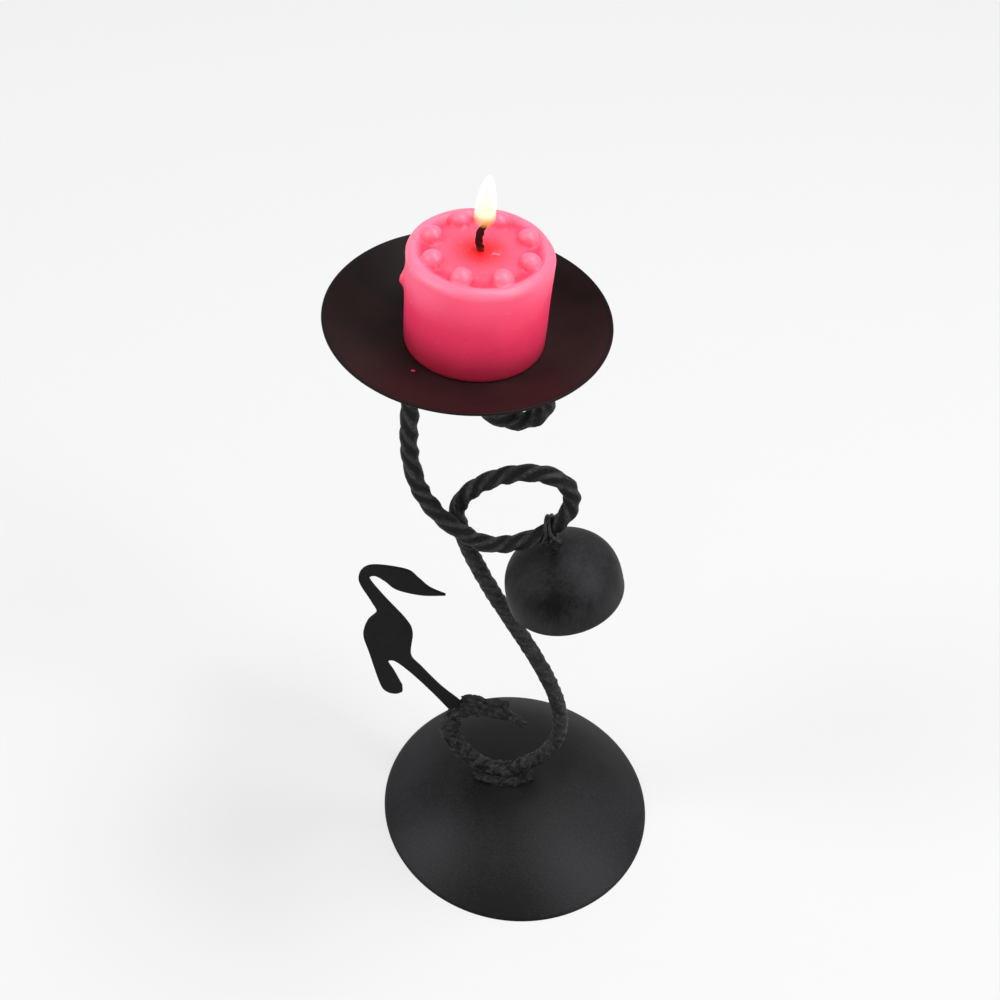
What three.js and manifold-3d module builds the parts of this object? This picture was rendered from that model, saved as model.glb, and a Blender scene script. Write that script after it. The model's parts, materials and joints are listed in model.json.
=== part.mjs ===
// A small wrought-iron candle stand. A twisted square bar, bent into an S with three loops, stands on a
// domed sheet foot and carries a shallow dish with a pillar candle. A bell hangs from the middle loop and
// a bird cut from sheet stands on the lowest one. Millimetres, +Z up, the loops in the plane y = 0.
import * as THREE from "three";
import { mergeVertices } from "three/addons/utils/BufferGeometryUtils.js";
import Module from "manifold-3d";

const wasm = await Module();
wasm.setup();

// ---------------------------------------------------------------- sizes
// Air left between pieces that rest on, hang in or are welded to each other
const seatGap = 0.3;

// Domed foot, pressed from sheet
const footRadius = 62.5;
const footRise = 23;
const footSheet = 1.2;

// Twisted square bar
const barSide = 6;
const barCorner = 0.9;
const upperTwistPitch = 34;
const lowerTwistPitch = 20;
const twistBlend = 12;
const lowerBarScale = 0.97;
const barTaperLength = 16;
const barTipScale = 0.35;

// Loops of the bar: centre, half length and half width of each oval, how far its long axis leans, the turn
// it starts and ends at, and how its size grows on the way.
// The foot loop rests on the foot, the top of the scroll hangs under the dish and its curl lies a drop below.
const footLoop = { x: -13.5, length: 25.8, width: 18.2, lean: -50, from: 100, to: 353, grow: [1.19, 0.75] };
const midLoop = { x: -15.3, z: 199, length: 22, width: 13.2, lean: 38, from: 167, to: -164, grow: [1.2, 1] };
const scrollTop = { x: -38, length: 19.4, width: 22.3, lean: 0, from: 180, to: 64, grow: [1, 1] };
const scrollCurl = { x: -20.6, drop: 24.2, length: 11.8, width: 10.8, lean: 0, from: 24, to: -142, grow: [1, 1] };
// How far the stems, and the bend between the scroll's top and its curl, keep the direction of their ends
const lowerStemPull = [65.4, 60];
const upperStemPull = [35.6, 25.2];
const scrollPull = [9, 8];

// Dish, pressed from sheet
const dishX = -38.8;
const dishRadius = 49.8;
const dishRimHeight = 290;
const dishDepth = 9.6;
const dishFloorRadius = 28;
const dishFlare = 1.6;
const dishSheet = 1.2;

// Candle
const candleOffset = 2.6;
const candleHeight = 37.1;
const candleFootRadius = 24.4;
const candleTopRadius = 25.2;
const candleEdge = 3.2;
const candleBack = 0.25;
const candleHem = 0.3;
const wellRadius = 21.2;
const wellCorner = { across: 1.4, up: 0.8 };
const wellDepth = 1.6;
const wellDome = 1;
const pearlCount = 8;
const pearlRadius = 3.9;
const pearlRing = 17.2;
const pearlDrop = 0.9;
const pearlTurn = -13;
const dripSize = { out: 2.6, around: 2.6, height: 4.6 };
const dripDrop = 16;
const dripSide = 184;

// Wick
const wickRadius = 1.2;
const wickHeight = 11.6;
const wickDepth = 5;
const wickSway = -0.8;
const wickCurl = 1.3;

// Wire that hangs the bell on the middle loop
const hangAngle = -71;
const hangerWire = 1.4;
const hangerStrandGap = 0.35;
const hangerLean = 18;
const hangerSpread = 2.4;
const hangerSlack = 0.15;
const hangerLeanRoom = 0.2;

// Bell
const bellRadius = 23.8;
const bellHeight = 24.6;
const bellSheet = 1.2;
const bellLean = 14.7;
const eyeWire = 1.2;
const eyeSlack = 0.1;
const eyeShank = 1;
const collarRadius = 3.2;
const collarThickness = 1;

// Clapper
const clapperLength = 20;
const clapperWire = 1.2;
const ballRadius = 4.5;
const peenRadius = 1.6;
const peenHeight = 0.9;

// Bird cut from sheet, and where round the lowest loop its foot is welded
const birdSheet = 1.6;
const birdFootShare = 0.18;
const birdHeight = 88.8;

// Weld beads, as half length along the loops, half depth front to back and half height
const footWeld = { length: 13, depth: 7.5, height: 5 };
const dishWeld = { length: 12, depth: 7, height: 4.2 };
const birdWeld = { length: 11, depth: 5, height: 3.7 };

// ---------------------------------------------------------------- worked-out places
const barRadius = Math.hypot(barSide / 2, barSide / 2 - barCorner);
const lowerBarRadius = barRadius * lowerBarScale;
const crossingDepth = 2 * (barRadius + seatGap);
const footSphere = (footRadius ** 2 + footRise ** 2) / (2 * footRise);
const dishFloorTop = dishRimHeight - dishDepth;
const dishUnderside = dishFloorTop - dishSheet;

// Height of the foot's upper skin at a distance from its middle
function footHeight(distance) {
  return Math.sqrt(footSphere ** 2 - distance ** 2) - (footSphere - footRise);
}

// ---------------------------------------------------------------- solids
// A clean closed geometry: shared corners merged, flat triangles dropped, faces pointing out
function closed(geometry) {
  const bare = geometry.clone();
  bare.deleteAttribute("normal");
  bare.deleteAttribute("uv");
  const merged = mergeVertices(bare, 1e-4);
  const at = merged.attributes.position;
  const corner = [0, 1, 2].map(() => new THREE.Vector3());
  const kept = [];
  let volume = 0;
  for (let i = 0; i < merged.index.count; i += 3) {
    const ids = [0, 1, 2].map((k) => merged.index.getX(i + k));
    if (new Set(ids).size === 3) {
      ids.forEach((id, k) => corner[k].fromBufferAttribute(at, id));
      volume += corner[0].dot(corner[1].clone().cross(corner[2]));
      kept.push(...ids);
    }
  }
  merged.setIndex(volume < 0 ? kept.reverse() : kept);
  return merged;
}

function toSolid(geometry) {
  const merged = closed(geometry);
  const vertProperties = new Float32Array(merged.attributes.position.array);
  const triVerts = new Uint32Array(merged.index.array);
  return new wasm.Manifold(new wasm.Mesh({ numProp: 3, vertProperties, triVerts }));
}

function toGeometry(solid) {
  const mesh = solid.getMesh();
  const geometry = new THREE.BufferGeometry();
  geometry.setAttribute("position", new THREE.BufferAttribute(new Float32Array(mesh.vertProperties), 3));
  geometry.setIndex(Array.from(mesh.triVerts));
  return geometry;
}

// Skin over a row of rings that have the same number of points, joined end to end or capped
function loft(rings, endless = false) {
  const sides = rings[0].length;
  const positions = rings.flat().flatMap((point) => point.toArray());
  const index = [];
  const spans = endless ? rings.length : rings.length - 1;
  for (let i = 0; i < spans; i++) {
    const here = i * sides;
    const next = ((i + 1) % rings.length) * sides;
    for (let k = 0; k < sides; k++) {
      const l = (k + 1) % sides;
      index.push(here + k, next + l, next + k, here + k, here + l, next + l);
    }
  }
  if (!endless) {
    const last = (rings.length - 1) * sides;
    for (let k = 1; k < sides - 1; k++) {
      index.push(0, k + 1, k, last, last + k, last + k + 1);
    }
  }
  const geometry = new THREE.BufferGeometry();
  geometry.setAttribute("position", new THREE.Float32BufferAttribute(positions, 3));
  geometry.setIndex(index);
  return closed(geometry);
}

// Round wire along a curve
function wire(curve, steps, radius, sides, endless = false) {
  const frames = curve.computeFrenetFrames(steps, endless);
  const rings = [];
  for (let i = 0; i < (endless ? steps : steps + 1); i++) {
    const centre = curve.getPointAt(i / steps);
    const ring = [];
    for (let k = 0; k < sides; k++) {
      const turn = (k / sides) * 2 * Math.PI;
      ring.push(centre.clone()
        .addScaledVector(frames.normals[i], radius * Math.cos(turn))
        .addScaledVector(frames.binormals[i], radius * Math.sin(turn)));
    }
    rings.push(ring);
  }
  return loft(rings, endless);
}

// A revolved solid about Z from a closed profile of [radius, height] points
function revolved(profile, segments) {
  const points = profile.map(([radius, height]) => new THREE.Vector2(radius, height));
  return closed(new THREE.LatheGeometry(points, segments).rotateX(Math.PI / 2));
}

// A round rod about Z between two depths below the origin
function rod(radius, top, bottom, sides) {
  return new THREE.CylinderGeometry(radius, radius, bottom - top, sides)
    .rotateX(Math.PI / 2).translate(0, 0, -(top + bottom) / 2);
}

// Evenly spread values from one number to another
function steps(from, to, count) {
  return Array.from({ length: count + 1 }, (_, i) => from + ((to - from) * i) / count);
}

// ---------------------------------------------------------------- the bar's route
// One forged loop: an oval arc whose size can grow along its turn and whose strand moves front to back
class LoopArc extends THREE.Curve {
  constructor(loop, z, depth) {
    super();
    Object.assign(this, { loop, z, depth });
  }

  getPoint(t, target = new THREE.Vector3()) {
    const { x, length, width, lean, from, to, grow } = this.loop;
    const turn = THREE.MathUtils.degToRad(from + (to - from) * t);
    const size = grow[0] + (grow[1] - grow[0]) * t;
    const along = length * size * Math.cos(turn);
    const across = width * size * Math.sin(turn);
    const tilt = THREE.MathUtils.degToRad(lean);
    return target.set(
      x + along * Math.cos(tilt) - across * Math.sin(tilt),
      this.depth[0] + (this.depth[1] - this.depth[0]) * THREE.MathUtils.smoothstep(t, 0, 1),
      this.z + along * Math.sin(tilt) + across * Math.cos(tilt),
    );
  }
}

// Lowest and highest points of a loop that is centred on z = 0
function loopReach(loop) {
  const points = new LoopArc(loop, 0, [0, 0]).getPoints(120);
  const byHeight = points.sort((a, b) => a.z - b.z);
  return { lowest: byHeight[0], highest: byHeight[byHeight.length - 1] };
}

// A stem that leaves one loop and enters the next along their own directions, moving evenly front to back
function stemBetween(before, after, pull) {
  const start = before.getPoint(1);
  const end = after.getPoint(0);
  return new THREE.CubicBezierCurve3(
    start,
    start.clone().addScaledVector(before.getTangent(1), pull[0]),
    end.clone().addScaledVector(after.getTangent(0), -pull[1]),
    end,
  );
}

const footLow = loopReach(footLoop).lowest;
const footLoopZ = footHeight(footLow.x) + seatGap + lowerBarRadius - footLow.z;
const scrollHigh = loopReach(scrollTop).highest;
const scrollTopZ = dishUnderside - seatGap - barRadius - scrollHigh.z;
const footArc = new LoopArc(footLoop, footLoopZ, [0, 0]);
const midArc = new LoopArc(midLoop, midLoop.z, [crossingDepth / 2, -crossingDepth / 2]);
const topArc = new LoopArc(scrollTop, scrollTopZ, [0, 0]);
const curlArc = new LoopArc(scrollCurl, dishUnderside - scrollCurl.drop, [0, 0]);
const lowerStem = stemBetween(footArc, midArc, lowerStemPull);
const upperStem = stemBetween(midArc, topArc, upperStemPull);
const scrollBend = stemBetween(topArc, curlArc, scrollPull);
const barRoute = new THREE.CurvePath();
[footArc, lowerStem, midArc, upperStem, topArc, scrollBend, curlArc].forEach((piece) => barRoute.add(piece));

// ---------------------------------------------------------------- the twisted bar
// Square section with dressed corners, listed round once
function squareSection() {
  const face = barSide / 2;
  const edge = face - barCorner;
  const quarter = [[face, -edge], [face, edge]];
  return [0, 1, 2, 3].flatMap((q) => quarter.map(([a, b]) => {
    const turn = (q * Math.PI) / 2;
    return [a * Math.cos(turn) - b * Math.sin(turn), a * Math.sin(turn) + b * Math.cos(turn)];
  }));
}

// Directions square to the route, one of them always near the Y axis
function squareFrame(tangent) {
  const side = new THREE.Vector3(0, 1, 0);
  side.addScaledVector(tangent, -side.dot(tangent)).normalize();
  return { side, outward: side.clone().cross(tangent) };
}

// The bar is twisted tighter and drawn thinner below the middle loop, and drawn out to a tip at its foot
function barState(distance, lowerEnd) {
  const lower = 1 - THREE.MathUtils.smoothstep(distance, lowerEnd - twistBlend, lowerEnd + twistBlend);
  const taper = THREE.MathUtils.smoothstep(distance, -barTaperLength * 0.3, barTaperLength);
  return {
    pitch: upperTwistPitch + (lowerTwistPitch - upperTwistPitch) * lower,
    scale: (1 + (lowerBarScale - 1) * lower) * (barTipScale + (1 - barTipScale) * taper),
  };
}

function twistedBar() {
  const total = barRoute.getLength();
  const lowerEnd = footArc.getLength() + lowerStem.getLength();
  const section = squareSection();
  const rings = [];
  let distance = 0;
  let twist = 0;
  while (distance < total + 1e-6) {
    const u = Math.min(distance / total, 1);
    const centre = barRoute.getPointAt(u);
    const { side, outward } = squareFrame(barRoute.getTangentAt(u));
    const { pitch, scale } = barState(distance, lowerEnd);
    rings.push(section.map(([a, b]) => {
      const c = scale * (a * Math.cos(twist) - b * Math.sin(twist));
      const s = scale * (a * Math.sin(twist) + b * Math.cos(twist));
      return centre.clone().addScaledVector(side, c).addScaledVector(outward, s);
    }));
    if (u === 1) break;
    const step = Math.min(pitch / 12, total - distance);
    twist += (2 * Math.PI * step) / pitch;
    distance += step;
  }
  return loft(rings);
}

// ---------------------------------------------------------------- hammered-up sheet parts
// The domed foot: two round skins and a flat edge to stand on
const footSegments = 48;

// Points of a round skin concentric with the foot, from the table up to the middle
function footSkin(radius) {
  const centreDrop = footSphere - footRise;
  const edge = Math.acos(centreDrop / radius);
  return steps(edge, 0, 7).map((turn) => [radius * Math.sin(turn), radius * Math.cos(turn) - centreDrop]);
}

function footDome() {
  const outside = footSkin(footSphere);
  const inside = footSkin(footSphere - footSheet).reverse();
  return revolved([...outside, ...inside, outside[0]], footSegments);
}

function dishHeight(radius) {
  const out = Math.max(0, radius - dishFloorRadius) / (dishRadius - dishFloorRadius);
  return dishDepth * out ** dishFlare;
}

function dish() {
  const radii = [0, ...steps(dishFloorRadius, dishRadius, 5)];
  const top = radii.map((radius) => [radius, dishHeight(radius)]);
  const under = top.map(([radius, height]) => [radius, height - dishSheet]);
  return revolved([...under, ...top.reverse(), under[0]], 48);
}

// ---------------------------------------------------------------- clearances round the bar
// A round rod along a length of the route, a seat gap wider than the bar, that cuts other pieces to fit
function barClearance(curve, radius, count) {
  const sides = 14;
  const reach = (radius + seatGap) / Math.cos(Math.PI / sides);
  const rings = steps(0, 1, count).map((u) => {
    const centre = curve.getPointAt(u);
    const { side, outward } = squareFrame(curve.getTangentAt(u));
    return steps(0, 2 * Math.PI, sides).slice(0, sides).map((turn) => centre.clone()
      .addScaledVector(side, reach * Math.cos(turn))
      .addScaledVector(outward, reach * Math.sin(turn)));
  });
  return toSolid(loft(rings));
}

const scrollRoute = new THREE.CurvePath();
scrollRoute.add(topArc);
scrollRoute.add(scrollBend);
const footLoopSeat = barClearance(footArc, lowerBarRadius, 40);
const scrollSeat = barClearance(scrollRoute, barRadius, 24);

// ---------------------------------------------------------------- welds
// A lump of weld metal: a squashed ball with shallow ripples
function weldLump({ length, depth, height }) {
  const lump = new THREE.SphereGeometry(1, 18, 10);
  const at = lump.attributes.position;
  const point = new THREE.Vector3();
  for (let i = 0; i < at.count; i++) {
    point.fromBufferAttribute(at, i);
    const ripple = 1 + 0.07 * Math.sin(7 * point.x + 2 * point.y) * Math.cos(5 * point.z + 3 * point.y);
    at.setXYZ(i, point.x * length * ripple, point.y * depth * ripple, point.z * height * ripple);
  }
  return lump;
}

// Everything below the foot's upper skin, raised by the seat gap
function underFoot() {
  const raised = footSkin(footSphere).map(([radius, height]) => [radius, height + seatGap]);
  return toSolid(revolved([[0, -footRise], [footRadius, -footRise], ...raised], footSegments));
}

// Bead between the lowest loop and the foot
function footWeldBead() {
  const x = footLow.x;
  const lump = toSolid(weldLump(footWeld).translate(x, 0, footHeight(x) + seatGap));
  return toGeometry(lump.subtract(underFoot()).subtract(footLoopSeat));
}

// Bead between the top of the scroll and the underside of the dish
function dishWeldBead() {
  const ceiling = dishUnderside - seatGap;
  const lump = toSolid(weldLump(dishWeld).translate(scrollHigh.x, 0, ceiling));
  const above = new THREE.BoxGeometry(4 * dishWeld.length, 4 * dishWeld.depth, 2 * dishWeld.height);
  above.translate(scrollHigh.x, 0, ceiling + dishWeld.height);
  return toGeometry(lump.subtract(toSolid(above)).subtract(scrollSeat));
}

// Bead in front of (side -1) or behind (side 1) the bird's foot, where it stands on the lowest loop
function birdWeldBead(side) {
  const at = footArc.getPoint(birdFootShare);
  const { outward } = squareFrame(footArc.getTangent(birdFootShare));
  at.addScaledVector(outward, lowerBarRadius * 0.8);
  const lump = weldLump(birdWeld).rotateY(Math.atan2(outward.x, outward.z)).translate(at.x, at.y, at.z);
  const size = 4 * birdWeld.length;
  const otherSide = new THREE.BoxGeometry(size, size, size);
  otherSide.translate(at.x, side * (birdSheet / 2 + seatGap - size / 2), at.z);
  return toGeometry(toSolid(lump).subtract(toSolid(otherSide)).subtract(footLoopSeat));
}

// ---------------------------------------------------------------- bird
// Outline from the tip of the beak over the head and back, round the tail, down the leg and up the breast,
// in hundredths of the bird's height from the middle of the bar under its foot
function birdOutline() {
  const beak = [-22.7, 82.4];
  const back = [[-30.3, 85.5], [-35.7, 90.8], [-41.4, 95.5], [-55.6, 95.8], [-61.9, 91.6],
    [-63.1, 83.5], [-57.3, 70.7], [-54.8, 63.4], [-59.1, 55.7], [-61, 45.3], [-58, 31.9], [-52.1, 8.8],
    [-46.8, 2.5], [-41.5, 5.5]];
  const tailTip = [-41.3, 8.8];
  const leg = [[-45.6, 19.4], [-48.8, 26.7], [-45.2, 28.4], [-37, 21], [-26.3, 8.3], [-17.1, -4]];
  const toe = [-4.6, -2.1];
  const breast = [[-11.9, 5.8], [-21.5, 13.6], [-32.1, 25.8], [-37.6, 34.2], [-37.2, 50.6],
    [-40.5, 59.8], [-51.5, 74.8], [-58.3, 85.6], [-55.9, 89], [-51.2, 86.4], [-45.3, 81.6],
    [-33.9, 80.1], beak];
  const share = birdHeight / 100;
  const curved = (points) => points.map(([x, z]) => new THREE.Vector2(x * share, z * share));
  const shape = new THREE.Shape();
  shape.moveTo(beak[0] * share, beak[1] * share);
  shape.splineThru(curved(back));
  shape.lineTo(tailTip[0] * share, tailTip[1] * share);
  shape.splineThru(curved(leg));
  shape.lineTo(toe[0] * share, toe[1] * share);
  shape.splineThru(curved(breast));
  return shape;
}

function bird() {
  const sheet = new THREE.ExtrudeGeometry(birdOutline(), {
    depth: birdSheet, bevelEnabled: false, curveSegments: 3, steps: 1,
  });
  const foot = footArc.getPoint(birdFootShare);
  sheet.rotateX(Math.PI / 2).translate(foot.x, birdSheet / 2, foot.z);
  return toGeometry(toSolid(sheet).subtract(footLoopSeat));
}

// ---------------------------------------------------------------- bell
// Radius of a bell skin at a depth below its crown
function bellSkin(depth, radius, height) {
  const rise = Math.max(0, 1 - depth / height);
  return radius * (1 - rise ** 3.6) ** 0.65;
}

// Depth below its crown at which a bell skin reaches a radius
function bellSkinDepth(reach, radius, height) {
  return height * (1 - (1 - (reach / radius) ** (1 / 0.65)) ** (1 / 3.6));
}

// Skin points from the crown's hole to the mouth, closer together near the crown
function bellSkinPoints(radius, height, crown) {
  return steps(0.08, 1, 9).map((share) => {
    const depth = share ** 2 * height;
    return [bellSkin(depth, radius, height), -crown - depth];
  });
}

const strandOffset = (hangerWire + hangerStrandGap) / 2;
const eyeRadius = strandOffset + hangerWire / 2 + seatGap + eyeWire / 2 + eyeSlack;
const crownDrop = eyeRadius + eyeWire / 2 + seatGap;
const collarDip = bellSkinDepth(collarRadius, bellRadius - bellSheet, bellHeight - bellSheet);
const collarTop = crownDrop + bellSheet + collarDip + seatGap;
const collarUnderside = collarTop + collarThickness;
const innerEyeDepth = collarUnderside + eyeRadius;
const clapperPivot = innerEyeDepth + eyeRadius;

function bellShell() {
  const hole = eyeShank + seatGap;
  const outer = bellSkinPoints(bellRadius, bellHeight, crownDrop).reverse();
  const inner = bellSkinPoints(bellRadius - bellSheet, bellHeight - bellSheet, crownDrop + bellSheet);
  const crown = [[hole, -crownDrop], [hole, -crownDrop - bellSheet]];
  return revolved([...outer, ...crown, ...inner, outer[0]], 32);
}

// Two rings on one shank: the upper one is hung outside the crown, the lower one carries the clapper.
// A collar under the crown holds the bell up.
function bellEye() {
  const ring = new THREE.TorusGeometry(eyeRadius, eyeWire / 2, 7, 18);
  const upper = toSolid(ring.clone().rotateX(Math.PI / 2));
  const lower = toSolid(ring.clone().rotateY(Math.PI / 2).rotateX(Math.PI / 2).translate(0, 0, -innerEyeDepth));
  const collarMiddle = collarTop + collarThickness / 2;
  const shank = toSolid(rod(eyeShank, eyeRadius, collarMiddle, 12));
  const collar = toSolid(rod(collarRadius, collarTop, collarUnderside, 18));
  return toGeometry(upper.add(shank).add(collar).add(lower));
}

const peenTop = clapperLength + ballRadius * 0.85;

// Clapper wire: a ring round the lower eye, a straight shank and a peened foot that keeps the ball on
function clapperHook() {
  const ringDrop = eyeRadius - (eyeWire + clapperWire) / 2 - seatGap;
  const ring = new THREE.TorusGeometry(eyeRadius, clapperWire / 2, 7, 18).rotateX(Math.PI / 2);
  const peenEnd = peenTop + peenHeight;
  const shank = toSolid(rod(clapperWire / 2, ringDrop + eyeRadius, peenTop + peenHeight / 2, 12));
  const foot = toSolid(rod(peenRadius, peenTop, peenEnd, 16));
  return toGeometry(toSolid(ring.translate(0, 0, -ringDrop)).add(shank).add(foot));
}

// Iron ball with a bore for the wire and a flat where the peened foot bears
function clapperBall() {
  const ball = toSolid(new THREE.SphereGeometry(ballRadius, 16, 10).translate(0, 0, -clapperLength));
  const bore = toSolid(rod(clapperWire / 2 + seatGap, clapperLength - 2 * ballRadius, 2 * clapperLength, 12));
  const flat = toSolid(rod(2 * ballRadius, peenTop - seatGap, 2 * clapperLength, 12));
  return toGeometry(ball.subtract(bore).subtract(flat));
}

// Wire wound twice round the bar and through the bell's upper eye. The turns lie on opposite sides of one
// oval and change sides once a turn, so that they close without touching. In front they spread below the bar.
const leaningHalfHeight = barRadius + hangerLeanRoom;
const strandSeat = seatGap + hangerWire / 2;
const hangerRise = leaningHalfHeight + strandSeat + strandOffset * Math.SQRT1_2;
const hangerDrop = leaningHalfHeight + seatGap + eyeRadius + eyeWire / 2;
const hangerReach = barRadius + strandSeat + strandOffset / 2 + hangerSlack;

class HangerTurns extends THREE.Curve {
  getPoint(t, target = new THREE.Vector3()) {
    const turn = 4 * Math.PI * t;
    const spread = hangerSpread * Math.max(0, Math.cos(turn + Math.PI / 6)) ** 6;
    const outward = strandOffset * Math.sin(turn / 2);
    const height = Math.sin(turn) > 0 ? hangerRise : hangerDrop;
    return target.set(
      (strandOffset + spread) * Math.cos(turn / 2),
      strandOffset / 2 - (hangerReach + outward) * Math.cos(turn),
      (height + outward) * Math.sin(turn),
    );
  }
}

function hanger() {
  return wire(new HangerTurns(), 72, hangerWire / 2, 6, true);
}

// ---------------------------------------------------------------- candle
// Wax body, measured from its foot: tapered side, rounded edge and a shallow well with a hole for the wick
function candleBody() {
  const hole = wickRadius + seatGap;
  const edge = steps(0, Math.PI / 2, 4).map((turn) => [
    candleTopRadius - candleEdge * (1 - Math.cos(turn)),
    candleHeight - candleEdge * (1 - Math.sin(turn)),
  ]);
  const floor = candleHeight - wellDepth;
  const well = [[wellRadius, floor + wellCorner.up], [wellRadius - wellCorner.across, floor],
    [wellRadius / 2, floor + wellDome / 2],
    [hole, floor + wellDome], [hole, floor - wickDepth], [0, floor - wickDepth]];
  const foot = [[0, 0], [candleFootRadius - candleHem, 0], [candleFootRadius, candleHem]];
  return toSolid(revolved([...foot, ...edge, ...well], 36));
}

function candle() {
  let body = candleBody();
  for (let i = 0; i < pearlCount; i++) {
    const pearl = new THREE.SphereGeometry(pearlRadius, 10, 6).rotateX(Math.PI / 2);
    pearl.translate(pearlRing, 0, candleHeight - pearlDrop);
    pearl.rotateZ(THREE.MathUtils.degToRad(pearlTurn) + (i / pearlCount) * 2 * Math.PI);
    body = body.add(toSolid(pearl));
  }
  const drip = new THREE.SphereGeometry(1, 12, 8).rotateX(Math.PI / 2);
  drip.scale(dripSize.out, dripSize.around, dripSize.height);
  drip.translate(candleTopRadius - dripSize.out / 3, 0, candleHeight - dripDrop);
  drip.rotateZ(THREE.MathUtils.degToRad(dripSide));
  return toGeometry(body.add(toSolid(drip)));
}

function wick() {
  const curve = new THREE.CatmullRomCurve3([
    new THREE.Vector3(0, 0, seatGap - wickDepth),
    new THREE.Vector3(0, 0, -wickDepth / 2),
    new THREE.Vector3(0, 0, wellDome),
    new THREE.Vector3(wickSway, 0, wickHeight * 0.35),
    new THREE.Vector3(wickSway / 2, 0, wickHeight * 0.7),
    new THREE.Vector3(wickCurl, 0, wickHeight),
  ]);
  return wire(curve, 14, wickRadius, 8);
}

// ---------------------------------------------------------------- assembly
const blackIron = { color: 0x1f1f20, roughness: 0.55, metalness: 0.5 };
const sootIron = { color: 0x2a1c1f, roughness: 0.6, metalness: 0.4 };
const bareWire = { color: 0x35353a, roughness: 0.5, metalness: 0.7 };
const pinkWax = { color: 0xec4263, roughness: 0.35, metalness: 0 };
const charredCord = { color: 0x3a1010, roughness: 0.9, metalness: 0 };

function piece(name, geometry, finish) {
  const mesh = new THREE.Mesh(geometry, new THREE.MeshStandardMaterial(finish));
  mesh.name = name;
  return mesh;
}

// A group at a point of the stand, leaning to the right by an angle
function placed(point, lean, ...children) {
  const group = new THREE.Group();
  group.position.copy(point);
  group.rotation.y = -THREE.MathUtils.degToRad(lean);
  return group.add(...children);
}

// The point that lies a distance down a line that leans to the right
function below(point, distance, lean) {
  const angle = THREE.MathUtils.degToRad(lean);
  return point.clone().add(new THREE.Vector3(distance * Math.sin(angle), 0, -distance * Math.cos(angle)));
}

const hangTurn = (hangAngle - midLoop.from) / (midLoop.to - midLoop.from);
const hangPoint = midArc.getPoint(hangTurn);
const bellPoint = below(hangPoint, hangerDrop, hangerLean);
const clapperPoint = below(bellPoint, clapperPivot, bellLean);
const candlePoint = new THREE.Vector3(dishX + candleOffset, candleBack, dishFloorTop + seatGap);
const wickPoint = candlePoint.clone().setZ(candlePoint.z + candleHeight - wellDepth);
const dishPoint = new THREE.Vector3(dishX, 0, dishFloorTop);

const stand = new THREE.Group();
stand.add(
  piece("base_dome", footDome(), blackIron),
  piece("twisted_bar", twistedBar(), blackIron),
  piece("base_weld", footWeldBead(), blackIron),
  piece("plate_weld", dishWeldBead(), blackIron),
  piece("bird_figure", bird(), blackIron),
  piece("bird_weld_front", birdWeldBead(-1), blackIron),
  piece("bird_weld_back", birdWeldBead(1), blackIron),
  placed(dishPoint, 0, piece("drip_plate", dish(), sootIron)),
  placed(candlePoint, 0, piece("candle_wax", candle(), pinkWax)),
  placed(wickPoint, 0, piece("candle_wick", wick(), charredCord)),
  placed(hangPoint, hangerLean, piece("hanger_wire", hanger(), bareWire)),
  placed(
    bellPoint,
    bellLean,
    piece("bell_shell", bellShell(), blackIron),
    piece("bell_eye", bellEye(), bareWire),
  ),
  placed(
    clapperPoint,
    0,
    piece("clapper_hook", clapperHook(), bareWire),
    piece("clapper_ball", clapperBall(), blackIron),
  ),
);

// The origin is on the table, midway between the dish's left edge and the foot's right edge
stand.position.x = -(dishX - dishRadius + footRadius) / 2;

export default stand;
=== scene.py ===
import json
import math

import bpy
import numpy as np
from mathutils import Matrix, Vector, noise

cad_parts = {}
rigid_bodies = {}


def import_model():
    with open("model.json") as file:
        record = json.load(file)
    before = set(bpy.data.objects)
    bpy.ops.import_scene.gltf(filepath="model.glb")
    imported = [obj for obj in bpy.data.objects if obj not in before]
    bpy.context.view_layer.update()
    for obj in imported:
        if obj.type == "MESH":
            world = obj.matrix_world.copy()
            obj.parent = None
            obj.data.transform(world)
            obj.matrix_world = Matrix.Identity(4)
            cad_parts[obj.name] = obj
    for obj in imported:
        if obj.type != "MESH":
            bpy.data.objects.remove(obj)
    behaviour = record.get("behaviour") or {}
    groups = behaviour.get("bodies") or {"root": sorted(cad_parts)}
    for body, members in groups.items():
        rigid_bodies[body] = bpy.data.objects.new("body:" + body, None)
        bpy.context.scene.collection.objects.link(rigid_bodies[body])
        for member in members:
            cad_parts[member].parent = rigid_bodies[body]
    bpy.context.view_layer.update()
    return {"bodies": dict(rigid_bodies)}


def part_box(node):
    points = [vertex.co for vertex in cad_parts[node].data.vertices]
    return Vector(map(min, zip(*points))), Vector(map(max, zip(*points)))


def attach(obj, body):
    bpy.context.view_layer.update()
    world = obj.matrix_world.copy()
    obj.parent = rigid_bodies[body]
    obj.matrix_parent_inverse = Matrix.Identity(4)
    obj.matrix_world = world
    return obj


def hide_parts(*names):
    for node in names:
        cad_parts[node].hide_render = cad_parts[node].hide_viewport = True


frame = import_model()

# ------------------------------------------------------------------ camera
# The photo looks at the stand from in front and from well above, from about 0.7 m, tilted a little to
# one side. Places below are millimetres from the middle of the foot, on the table.
MM = 0.001
foot_low, foot_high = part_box("base_dome")
foot_middle = Vector(((foot_low.x + foot_high.x) / 2, (foot_low.y + foot_high.y) / 2, 0))
CAMERA_PLACE = (0, -397.8, 607.8)
CAMERA_YAW = 3.13
CAMERA_PITCH = -45.47
CAMERA_ROLL = 5.72


def added(name, data):
    """An object in the scene that holds a camera, lamp, curve or mesh."""
    made = bpy.data.objects.new(name, data)
    bpy.context.scene.collection.objects.link(made)
    return made


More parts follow.
